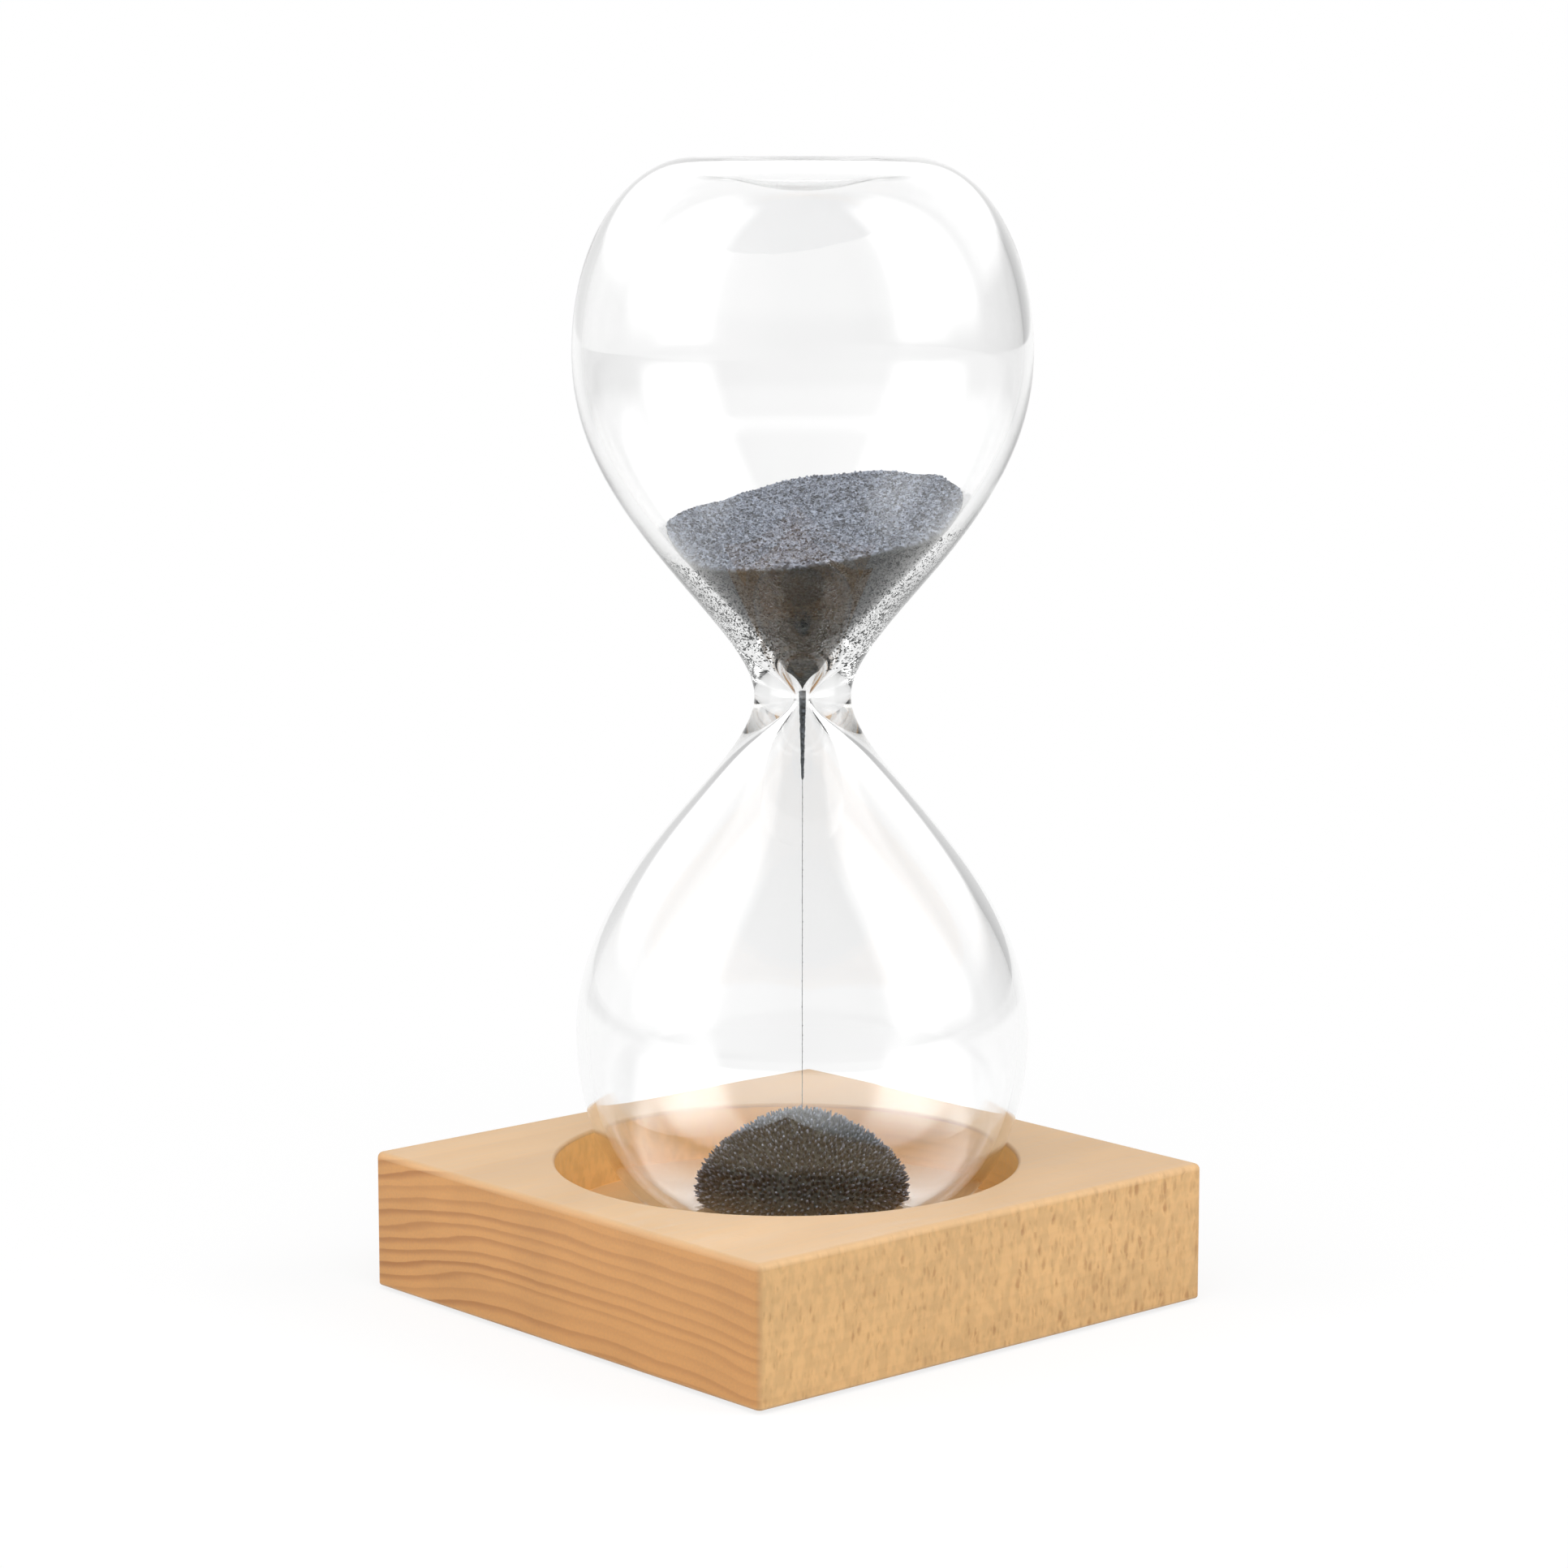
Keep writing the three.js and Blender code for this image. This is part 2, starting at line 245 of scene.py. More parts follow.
def quarter_turns(steps):
    """Angles of a rounded edge."""
    return [math.pi / 2 * k / steps for k in range(steps + 1)]


def loft(bm, rings, first_end, last_end):
    """Joins rings of points with quads and closes both ends with a fan. Rings that go up point outwards,
    and rings that go down make the faces of a hollow. The faces are returned."""
    loops = [[bm.verts.new(p) for p in ring] for ring in rings]
    count = len(loops[0])
    after = [(k + 1) % count for k in range(count)]
    faces = []
    for low, high in zip(loops, loops[1:]):
        faces += [bm.faces.new((low[k], low[after[k]], high[after[k]], high[k])) for k in range(count)]
    first = bm.verts.new(first_end)
    last = bm.verts.new(last_end)
    faces += [bm.faces.new((first, loops[0][after[k]], loops[0][k])) for k in range(count)]
    faces += [bm.faces.new((last, loops[-1][k], loops[-1][after[k]])) for k in range(count)]
    return faces


def finished_mesh(name, bm, crease=math.radians(35)):
    """A mesh with smooth faces and sharp edges where they turn by more than the crease."""
    mesh = bpy.data.meshes.new(name)
    bm.to_mesh(mesh)
    bm.free()
    mesh.shade_smooth()
    mesh.set_sharp_from_angle(angle=crease)
    return mesh


def keep_above(mesh, level):
    """Presses what hangs below a level flat against it."""
    for vertex in mesh.vertices:
        vertex.co.z = max(vertex.co.z, level)


def mark_points(mesh, name, values):
    """Stores one number for each point of a mesh."""
    marks = mesh.attributes.new(name, "FLOAT", "POINT")
    marks.data.foreach_set("value", values)


def finish_piece(name, mesh, material, body, slot, *nodes):
    """A finished piece that rides on a body, takes a finish and stands for CAD nodes, which it hides. The
    slot is not used.
    """
    if not mesh.polygons:
        raise RuntimeError(f"{name} came out empty")
    if material.name not in mesh.materials:
        mesh.materials.append(material)
    thing = place_object(name, mesh)
    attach(thing, body)
    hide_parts(*nodes)
    return thing


# Shape of the glass, shared with the filings that lie in it.

# How far the handles of its curves reach, as shares of the height or width of a curve.

WAIST_PULL = 0.214
THROAT_PULL = 0.165
BELLY_PULL = 0.493
SHOULDER_PULL = 0.57
DIMPLE_PULL = 0.5
# Foot of the melted tip in its radii, and slow waves for each radius of a bulb.
SEAL_FOOT = 1.7
WAVE_COUNT = 2.2
# Fineness of the mesh.
FLANK_STEPS = 44
SHOULDER_STEPS = 36
DIMPLE_STEPS = 16
GLASS_SEGMENTS = 128


def bulb_flank(sizes, waist_radius, waist_pull, inset):
    """A bulb's wall from the waist to the belly, as points of radius and height."""
    belly = BULB_RADIUS - inset
    height = sizes.belly_height
    start = (waist_radius, 0.0)
    curve = bezier(
        start,
        (waist_radius, waist_pull * height),
        (belly, height * (1 - BELLY_PULL)),
        (belly, height),
        FLANK_STEPS,
    )
    return [start] + curve


def bulb_end(sizes, inset):
    """The wall from the belly over the shoulder and the ring to the pushed-in middle."""
    belly = BULB_RADIUS - inset
    top = BULB_HEIGHT - inset
    crown = top - sizes.dimple_depth
    ring = sizes.ring_radius
    shoulder = bezier(
        (belly, sizes.belly_height),
        (belly, sizes.belly_height + SHOULDER_PULL * (top - sizes.belly_height)),
        (ring + SHOULDER_PULL * (belly - ring), top),
        (ring, top),
        SHOULDER_STEPS,
    )
    dimple = bezier(
        (ring, top),
        (ring * (1 - DIMPLE_PULL), top),
        (ring * DIMPLE_PULL, crown),
        (0.0, crown),
        DIMPLE_STEPS,
    )
    return shoulder + dimple


def inner_wall(sizes, gap=0.0):
    """The inside of a bulb from the waist to its end, kept clear of the glass by a gap."""
    flank = bulb_flank(sizes, sizes.orifice_radius - gap, THROAT_PULL, sizes.wall + gap)
    return flank + bulb_end(sizes, sizes.wall + gap)


def outer_wall(sizes):
    """The outside of a bulb from the waist to its end."""
    return bulb_flank(sizes, sizes.waist_radius, WAIST_PULL, 0.0) + bulb_end(sizes, 0.0)


def sealed_end(sizes, wall):
    """An outer wall whose middle carries the drop of the melted filling hole."""
    crown = BULB_HEIGHT - sizes.dimple_depth
    foot = SEAL_FOOT * sizes.seal_radius
    kept = [p for p in wall if p[0] > foot or p[1] < sizes.belly_height]
    drop = bezier(
        (foot, crown),
        (sizes.seal_radius, crown),
        (sizes.seal_radius, crown + sizes.seal_drop),
        (0.0, crown + sizes.seal_drop),
        DIMPLE_STEPS,
    )
    return kept + [(foot, crown)] + drop


def glass_surface(bm, upper, lower, upward, unevenness):
    """One side of the glass, turned from the walls of both bulbs: the outside goes up, the hollow down."""
    below = [(r, -h) for r, h in reversed(lower)]
    profile = below + upper[1:]
    if not upward:
        profile.reverse()
    rings = []
    for radius, height in profile[1:-1]:
        ring = turned_ring(radius, height, WAIST, GLASS_SEGMENTS)
        waves = [noise.noise((p - WAIST) / BULB_RADIUS * WAVE_COUNT) for p in ring]
        reach = min(1.0, radius / (BULB_RADIUS / 2))
        outward = [(p - WAIST - upright(height)).normalized() for p in ring]
        rings.append([p + o * w * reach * unevenness for p, o, w in zip(ring, outward, waves)])
    ends = [WAIST + upright(h) for _, h in (profile[0], profile[-1])]
    loft(bm, rings, *ends)


def radius_at(wall, height):
    """Radius of a wall at a height on its flank."""
    for (r0, h0), (r1, h1) in zip(wall, wall[1:]):
        if h0 <= height <= h1:
            return r0 + (r1 - r0) * (height - h0) / (h1 - h0)
    raise ValueError(f"the wall does not reach {height}")


# Node trees.


def add_node(tree, kind, inputs=None, **settings):
    """A new node with its settings. An input is a value or the socket that feeds it."""
    node = tree.nodes.new(kind)
    for name, value in settings.items():
        setattr(node, name, value)
    for key, value in (inputs or {}).items():
        if isinstance(value, bpy.types.NodeSocket):
            tree.links.new(value, node.inputs[key])
        else:
            node.inputs[key].default_value = value
    return node


def maths(tree, operation, *values):
    """The result of a Math node."""
    return add_node(tree, "ShaderNodeMath", dict(enumerate(values)), operation=operation).outputs[0]


def times(tree, *values):
    """The product of some values."""
    product = values[0]
    for value in values[1:]:
        product = maths(tree, "MULTIPLY", product, value)
    return product


def remap(tree, value, low, high, to_low, to_high):
    """A value moved smoothly from one range to another."""
    inputs = {"Value": value, "From Min": low, "From Max": high, "To Min": to_low, "To Max": to_high}
    return add_node(tree, "ShaderNodeMapRange", inputs, interpolation_type="SMOOTHSTEP").outputs[0]


def rising(tree, value, low, high):
    """A value moved smoothly to 0 at the low end of a range and 1 at its high end."""
    return remap(tree, value, low, high, 0.0, 1.0)


def falling(tree, value, low, high):
    """A value moved smoothly to 1 at the low end of a range and 0 at its high end."""
    return remap(tree, value, low, high, 1.0, 0.0)


def mixed(tree, factor, first, second, mode="MIX"):
    """Two colours mixed by a factor. A plain colour is given as three numbers."""
    colours = [c if isinstance(c, bpy.types.NodeSocket) else (*c, 1.0) for c in (first, second)]
    inputs = {0: factor, 6: colours[0], 7: colours[1]}
    return add_node(tree, "ShaderNodeMix", inputs, data_type="RGBA", blend_type=mode).outputs[2]


def paler(colour, factor):
    """A colour made lighter."""
    return [min(1.0, factor * c) for c in colour]


def blend(tree, share, first, second):
    """Two numbers mixed by a share."""
    return add_node(tree, "ShaderNodeMix", {0: share, 2: first, 3: second}).outputs[0]


def new_material(name):
    """An empty node material and its output."""
    material = bpy.data.materials.new(name)
    material.use_nodes = True
    tree = material.node_tree
    tree.nodes.clear()
    return material, tree, add_node(tree, "ShaderNodeOutputMaterial")


def millimetres(tree, stretch=(1, 1, 1), turn=(0, 0, 0)):
    """The piece's own coordinates in millimetres, stretched and turned for a pattern."""
    place = add_node(tree, "ShaderNodeTexCoord").outputs["Object"]
    inputs = {"Vector": place, "Scale": [s / MM for s in stretch], "Rotation": turn}
    return add_node(tree, "ShaderNodeMapping", inputs).outputs[0]


def part_of(tree, vector, axis):
    """One part of a vector."""
    return add_node(tree, "ShaderNodeSeparateXYZ", {0: vector}).outputs[axis]


def vector_maths(tree, operation, *values):
    """The vector that a Vector Math node gives."""
    return add_node(tree, "ShaderNodeVectorMath", dict(enumerate(values)), operation=operation).outputs[0]


def noise_at(tree, scale, detail=2.0, stretch=(1, 1, 1), turn=(0, 0, 0)):
    """A noise value from 0 to 1, with a scale of waves for each millimetre."""
    inputs = {"Vector": millimetres(tree, stretch, turn), "Scale": scale, "Detail": detail}
    return add_node(tree, "ShaderNodeTexNoise", inputs).outputs[0]


def cells_at(tree, vector, scale):
    """Distance to the middle of the nearest cell, and the red, green and blue drawn for that cell."""
    cells = add_node(tree, "ShaderNodeTexVoronoi", {"Vector": vector, "Scale": scale}).outputs
    return cells["Distance"], add_node(tree, "ShaderNodeSeparateColor", {0: cells["Color"]}).outputs


def attribute(tree, name):
    """A number that the mesh holds for each point."""
    return add_node(tree, "ShaderNodeAttribute", attribute_name=name).outputs["Fac"]


def bumped(tree, height, distance, strength=1.0):
    """A normal that follows a height."""
    inputs = {"Height": height, "Distance": distance, "Strength": strength}
    return add_node(tree, "ShaderNodeBump", inputs).outputs[0]


def surface(tree, output, inputs):
    """The material's one Principled shader."""
    shader = add_node(tree, "ShaderNodeBsdfPrincipled", inputs)
    tree.links.new(shader.outputs[0], output.inputs["Surface"])
    return shader


def mixed_shader(tree, share, first, second):
    """Two shaders mixed by a share."""
    return add_node(tree, "ShaderNodeMixShader", {0: share, 1: first, 2: second}).outputs[0]


# Materials.


# Growth rings, in millimetres: their pitch, where and how fast they dip, and how far three kinds of
# waves move them.
RING_PITCH = 1.9
RING_DIP_START = 5.0
RING_DIP = 0.0026
RING_SWING = 5.0
RING_SPREAD = 2.6
RING_RIPPLE = 0.3
# Parts of one ring over which late wood sets in and ends, and the strength of the faintest ring.
LATE_WOOD = (0.3, 0.85)
RING_END = (0.88, 1.0)
FAINTEST_RING = 0.35
# Ray flecks: cells for each millimetre, their tilt, how they thicken along Y, and how much they vary.
FLECK_STRETCH = (0.28, 0.85, 0.32)
FLECK_TILT = math.radians(10)
FLECK_SPAN = (-40.0, 40.0)
FLECK_CROWDING = (0.36, 0.54)
FLECK_DRAW = (0.1, 1.0)
FLECK_EDGE = (-0.2, 0.22)
FAINTEST_FLECK = 0.3
SMALL_FLECK = 0.55
SMALL_FLECK_SHARE = 0.5
# Shares of the rings and flecks in the colour: where they show best, elsewhere, and in the turned
# recess.
RING_SPAN = (-40.0, 25.0)
RING_SHARE = (0.8, 0.35)
RING_TRACE = 0.08
RING_TURNED = 0.25
FLECK_SHARE = 0.75
FLECK_TRACE = 0.03
FLECK_TURNED = 0.2
# Share of the top's paler colour on eased edges: a painted highlight.
EASED_HIGHLIGHT = 0.3
# Shades that fibres, mottling and clouds give over the middle of their noise.
MIDDLE_NOISE = (0.3, 0.7)
FIBRE_SHADE = (0.96, 1.03)
CLOUD_SHADE = (-0.05, 0.05)
MOTTLE_NOISE = (0.35, 0.65)
MOTTLE_SHADE = (1.05, 0.91)
# Height of the wood's surface: level, and how far the flecks are sunk.
WOOD_LEVEL = 0.5
FLECK_SUNK = 0.5


def ring_shade(tree):
    """Growth rings that run level along X and dip at one end, from 0 in early wood to 1 in late wood."""
    place = millimetres(tree)
    short = maths(tree, "SUBTRACT", part_of(tree, place, "X"), RING_DIP_START)
    short = maths(tree, "MINIMUM", short, 0.0)
    level = maths(tree, "ADD", part_of(tree, place, "Z"), times(tree, short, short, RING_DIP))
    swing = noise_at(tree, scale=0.035, detail=1.0, stretch=(1, 0.12, 0.7))
    spread = noise_at(tree, scale=0.22, detail=1.0, stretch=(0.05, 0.02, 1))
    ripple = noise_at(tree, scale=0.3, stretch=(1, 0.15, 1))
    for waves, reach in ((swing, RING_SWING), (spread, RING_SPREAD), (ripple, RING_RIPPLE)):
        level = maths(tree, "MULTIPLY_ADD", waves, reach, level)
    count = maths(tree, "DIVIDE", level, RING_PITCH)
    turn = maths(tree, "FRACT", count)
    line = times(tree, rising(tree, turn, *LATE_WOOD), falling(tree, turn, *RING_END))
    number = {"W": maths(tree, "FLOOR", count)}
    chance = add_node(tree, "ShaderNodeTexWhiteNoise", number, noise_dimensions="1D").outputs["Value"]
    return times(tree, line, remap(tree, chance, 0.0, 1.0, FAINTEST_RING, 1.0))


def fleck_shade(tree, size):
    """Short upright ray flecks, up to 1 in the strongest and closer together towards +Y."""
    stretched = millimetres(tree, [c / size for c in FLECK_STRETCH], (FLECK_TILT, 0, 0))
    bent = vector_maths(tree, "ADD", stretched, noise_at(tree, scale=0.5))
    distance, random = cells_at(tree, bent, 1.0)
    crowding = remap(tree, part_of(tree, millimetres(tree), "Y"), *FLECK_SPAN, *FLECK_CROWDING)
    reach = times(tree, rising(tree, random["Red"], *FLECK_DRAW), crowding)
    shape = rising(tree, maths(tree, "SUBTRACT", reach, distance), *FLECK_EDGE)
    return times(tree, shape, remap(tree, random["Green"], 0.0, 1.0, FAINTEST_FLECK, 1.0))


def faces_to(tree, axis):
    """1 on faces square to an axis, and 0 on faces along it."""
    normal = add_node(tree, "ShaderNodeNewGeometry").outputs["Normal"]
    return part_of(tree, vector_maths(tree, "MULTIPLY", normal, normal), axis)


def beech_colour(tree, colours, ring, fleck, fibre):
    """Colour of the beech, which differs between its top, its sides and its end grain."""
    on_side = faces_to(tree, "X")
    on_end = faces_to(tree, "Y")
    turned = attribute(tree, "turned")
    colour = mixed(tree, on_side, colours.beech_top, colours.beech_side)
    colour = mixed(tree, on_end, colour, colours.beech_end)
    # The turned recess takes its own warm tone, brightened by painted light.
    colour = mixed(tree, turned, colour, colours.beech_turned_painted_light)

    clear = remap(tree, part_of(tree, millimetres(tree), "X"), *RING_SPAN, *RING_SHARE)
    share = maths(tree, "MULTIPLY_ADD", on_end, clear, RING_TRACE)
    share = times(tree, ring, share, remap(tree, turned, 0.0, 1.0, 1.0, RING_TURNED))
    colour = mixed(tree, share, colour, colours.beech_ring)
    share = maths(tree, "MULTIPLY_ADD", on_side, FLECK_SHARE, FLECK_TRACE)
    share = times(tree, fleck, share, remap(tree, turned, 0.0, 1.0, 1.0, FLECK_TURNED))
    colour = mixed(tree, share, colour, colours.beech_fleck)

    cloud = noise_at(tree, scale=0.06, stretch=(1, 0.4, 1))
    mottle = noise_at(tree, scale=0.8, stretch=(0.3, 0.9, 0.5), turn=(0.35, 0.3, 0.4))
    shade = remap(tree, fibre, *MIDDLE_NOISE, *FIBRE_SHADE)
    shade = blend(tree, on_side, shade, remap(tree, mottle, *MOTTLE_NOISE, *MOTTLE_SHADE))
    shade = maths(tree, "ADD", shade, remap(tree, cloud, *MIDDLE_NOISE, *CLOUD_SHADE))
    colour = mixed(tree, 1.0, colour, shade, "MULTIPLY")
    # Eased edges are made paler: a painted highlight.
    return mixed(tree, times(tree, attribute(tree, "eased"), EASED_HIGHLIGHT), colour, colours.beech_top)


def beech_material(colours):
    """Planed beech under satin lacquer with its grain along Y: rings on the ends, flecks on the sides."""
    material, tree, output = new_material("beech")
    ring = ring_shade(tree)
    small = times(tree, fleck_shade(tree, SMALL_FLECK), SMALL_FLECK_SHARE)
    fleck = maths(tree, "MAXIMUM", fleck_shade(tree, 1.0), small)
    fibre = noise_at(tree, scale=2.4, detail=4.0, stretch=(1, 0.05, 1))
    height = blend(tree, faces_to(tree, "X"), fibre, WOOD_LEVEL)
    height = maths(tree, "MULTIPLY_ADD", fleck, -FLECK_SUNK, height)
    inputs = {
        "Base Color": beech_colour(tree, colours, ring, fleck, fibre),
        "Roughness": remap(tree, fibre, low=0.25, high=0.75, to_low=0.42, to_high=0.6),
        "Normal": bumped(tree, height, distance=0.04 * MM, strength=0.5),
        "Coat Weight": 0.08,
        "Coat Roughness": 0.3,
    }
    surface(tree, output, inputs)
    return material


# Filings: grains for each millimetre, how dull most of them are, and how much paler a grain in painted
# shade can be.
GRAIN_CELLS = 2.1
GRAIN_DULLNESS = 1.2
PACKED_PALER = 1.7


def iron_material(colours):
    """Loose iron filings: every grain its own grey, and darker by painted shade where the mesh marks them
    packed.
    """
    material, tree, output = new_material("iron_filings")
    depth, random = cells_at(tree, millimetres(tree), GRAIN_CELLS)
    tone = maths(tree, "POWER", random["Red"], GRAIN_DULLNESS)
    loose = mixed(tree, tone, colours.iron_dark, colours.iron_light)
    dense = mixed(tree, tone, colours.iron_painted_shade, paler(colours.iron_painted_shade, PACKED_PALER))
    # Painted shade: the heap's sides, the spike roots and the dome take the dark olive colour.
    packed = attribute(tree, "packed")
    inputs = {
        "Base Color": mixed(tree, packed, loose, dense),
        "Metallic": remap(tree, packed, low=0.0, high=1.0, to_low=0.3, to_high=0.1),
        "Roughness": remap(tree, random["Green"], low=0.0, high=1.0, to_low=0.35, to_high=0.65),
        "Normal": bumped(tree, depth, distance=0.25 * MM, strength=0.7),
    }
    surface(tree, output, inputs)
    return material


# What is left of the light's colours in the glass, and how fast it is lost, for each metre.
GLASS_TINT = (0.9, 0.902, 0.9, 1.0)
GLASS_LOSS = 115.0


def glass_material():
    """Clear blown glass with slow waves, a little darker where a ray runs far inside it."""
    material, tree, output = new_material("clear_glass")
    waves = noise_at(tree, scale=0.09, detail=1.0, stretch=(1, 1, 0.5))
    inputs = {
        "Base Color": WHITE,
        "Roughness": 0.0,
        "IOR": 1.47,
        "Transmission Weight": 1.0,
        "Normal": bumped(tree, waves, distance=0.12 * MM, strength=0.1),
    }
    glass = surface(tree, output, inputs).outputs[0]
    clear = add_node(tree, "ShaderNodeBsdfTransparent").outputs[0]
    shadow = add_node(tree, "ShaderNodeLightPath").outputs["Is Shadow Ray"]
    tree.links.new(mixed_shader(tree, shadow, glass, clear), output.inputs["Surface"])
    depth = {"Color": GLASS_TINT, "Density": GLASS_LOSS}
    tint = add_node(tree, "ShaderNodeVolumeAbsorption", depth).outputs[0]
    tree.links.new(tint, output.inputs["Volume"])
    return material


def felt_material(colours):
    """Dark pressed felt with matted fibres."""
    material, tree, output = new_material("felt")
    fibres = noise_at(tree, scale=1.6, detail=6.0, stretch=(3, 0.6, 1), turn=(0, 0, 0.6))
    crossed = noise_at(tree, scale=1.6, detail=6.0, stretch=(0.6, 3, 1), turn=(0, 0, -0.4))
    matted = maths(tree, "MAXIMUM", fibres, crossed)
    raised = rising(tree, matted, low=0.45, high=0.75)
    inputs = {
        "Base Color": mixed(tree, raised, colours.felt, paler(colours.felt, factor=2.4)),
        "Roughness": 1.0,
        "Sheen Weight": 0.3,
        "Normal": bumped(tree, matted, distance=0.3 * MM, strength=0.8),
    }
    surface(tree, output, inputs)
    return material


def ferrite_material(colours):
    """A ground ferrite disc: fine pits and the marks of the grinding wheel."""
    material, tree, output = new_material("ferrite")
    pits = noise_at(tree, scale=3.0, detail=5.0)
    scored = noise_at(tree, scale=2.0, stretch=(0.1, 4, 1))
    inputs = {
        "Base Color": mixed(tree, scored, colours.ferrite, paler(colours.ferrite, factor=1.8)),
        "Metallic": 0.1,
        "Roughness": remap(tree, pits, low=0.2, high=0.8, to_low=0.35, to_high=0.6),
        "Normal": bumped(tree, pits, distance=0.08 * MM, strength=0.6),
    }
    surface(tree, output, inputs)
    return material


def glue_material(colours):
    """Set adhesive, cloudy with small bubbles."""
    material, tree, output = new_material("glue")
    cloud = noise_at(tree, scale=0.5, detail=3.0)
    bubbles, _ = cells_at(tree, millimetres(tree), scale=1.2)
    inputs = {
        "Base Color": mixed(tree, cloud, colours.glue, paler(colours.glue, factor=1.25)),
        "Roughness": remap(tree, cloud, low=0.2, high=0.8, to_low=0.2, to_high=0.4),
        "Normal": bumped(tree, bubbles, distance=0.1 * MM, strength=0.5),
    }
    surface(tree, output, inputs)
    return material


# Geometry Nodes.

# Most grains, splinters, spikes and fibres on a square metre, before those too close together are
# left out.
GRAIN_DENSITY = 2e7
SPLINTER_DENSITY = 4e7
SPIKE_DENSITY = 1e7
FIBRE_DENSITY = 4e6
# Loose grains: their radius in grain sizes, and how much they vary.
GRAIN_RADIUS = 0.62
GRAIN_SCALE = (0.45, 1.25)
# Least height of the normal, up or down, on faces that carry loose grains and on faces that touch the
# glass.
UPWARD = 0.85
DOWNWARD = 0.1
# Splinters that touch the glass: their size and spacing in grains, how much painted shade darkens them,
# and the heights above the waist between which they begin.
SPLINTER_SIZE = 0.75
SPLINTER_SPACING = 0.7
SPLINTER_SHADE = 0.9
SPLINTER_START = 4 * MM
SPLINTER_FULL = 11 * MM
# Spikes: radii in spacings, the part of their length over which their painted root shade fades, how far
# under the level they may point, how far they stray and how much they vary.
SPIKE_TIP = 0.14
SPIKE_ROOT = 0.6
SPIKE_SHADE_FADES = (0.4, 1.0)
SPIKE_LOWEST = -0.3
SPIKE_STRAY = 0.14
SPIKE_SCALE = (0.6, 1.15)
# Grains on the falling thread: their spacing and radius in grain sizes.
THREAD_SPACING = 0.8
THREAD_GRAIN = 0.2
# Fibres of the felt: their spacing, their radius in lengths, and how far they turn from upright.
FIBRE_SPACING = 0.7 * MM
FIBRE_RADIUS = 0.05
FIBRE_TURN = 1.45


def growth_tree(name, inputs):
    """An empty tree with named inputs that takes and gives geometry."""
    tree = bpy.data.node_groups.new(name, "GeometryNodeTree")
    tree.interface.new_socket("Geometry", in_out="INPUT", socket_type="NodeSocketGeometry")
    for title, kind in inputs.items():
        tree.interface.new_socket(title, in_out="INPUT", socket_type=kind)
    tree.interface.new_socket("Geometry", in_out="OUTPUT", socket_type="NodeSocketGeometry")
    return tree, add_node(tree, "NodeGroupInput").outputs


def end_tree(tree, parts, material):
    """Ends a tree: real geometry of all its parts, in one material."""
    joined = add_node(tree, "GeometryNodeJoinGeometry")
    for part in parts:
        tree.links.new(part, joined.inputs[0])
    real = add_node(tree, "GeometryNodeRealizeInstances", {"Geometry": joined.outputs[0]})
    dressed = add_node(tree, "GeometryNodeSetMaterial", {"Geometry": real.outputs[0], "Material": material})
    add_node(tree, "NodeGroupOutput", {"Geometry": dressed.outputs[0]})
    return tree


def random_vector(tree, low, high, seed):
    """A random vector for each point."""
    inputs = {0: (low,) * 3, 1: (high,) * 3, "Seed": seed}
    return add_node(tree, "FunctionNodeRandomValue", inputs, data_type="FLOAT_VECTOR").outputs[0]


def random_turn(tree, low, high, seed):
    """A random rotation for each point."""
    angles = {"Euler": random_vector(tree, low, high, seed)}
    return add_node(tree, "FunctionNodeEulerToRotation", angles).outputs[0]


def spread_points(tree, mesh, distance, density, seed, selection=True, share=1.0):
    """Points strewn over a mesh, no closer than a distance."""
    inputs = {"Mesh": mesh, "Distance Min": distance, "Density Max": density, "Seed": seed}
    inputs.update({"Selection": selection, "Density Factor": share})
    return add_node(
        tree, "GeometryNodeDistributePointsOnFaces", inputs, distribute_method="POISSON"
    ).outputs


def above_level(tree, value, level):
    """True where a value is greater than a level."""
    inputs = {"A": value, "B": level}
    return add_node(tree, "FunctionNodeCompare", inputs, operation="GREATER_THAN").outputs[0]


def loose_grain(tree, size):
    """An angular grain."""
    return add_node(tree, "GeometryNodeMeshIcoSphere", {"Radius": size, "Subdivisions": 1}).outputs[0]


def painted_shade_mesh(tree, mesh, packed):
    """A mesh that stores the painted shade of its points, under the name packed."""
    inputs = {"Geometry": mesh, "Name": "packed", "Value": packed}
    return add_node(
        tree, "GeometryNodeStoreNamedAttribute", inputs, data_type="FLOAT", domain="POINT"
    ).outputs[0]


def grains_on(tree, points, grain, seed):
    """A grain of its own shape and turn on every point."""
    inputs = {
        "Points": points,
        "Instance": grain,
        "Rotation": random_turn(tree, 0.0, math.tau, seed),
        "Scale": random_vector(tree, *GRAIN_SCALE, seed),
    }
    return add_node(tree, "GeometryNodeInstanceOnPoints", inputs).outputs[0]


def shaded_splinter(tree, size):
    """A splinter of four faces, dark by painted shade."""
    shape = {"Vertices": 3, "Radius Top": 0.0, "Radius Bottom": size, "Depth": size}
    return painted_shade_mesh(tree, add_node(tree, "GeometryNodeMeshCone", shape).outputs["Mesh"], SPLINTER_SHADE)


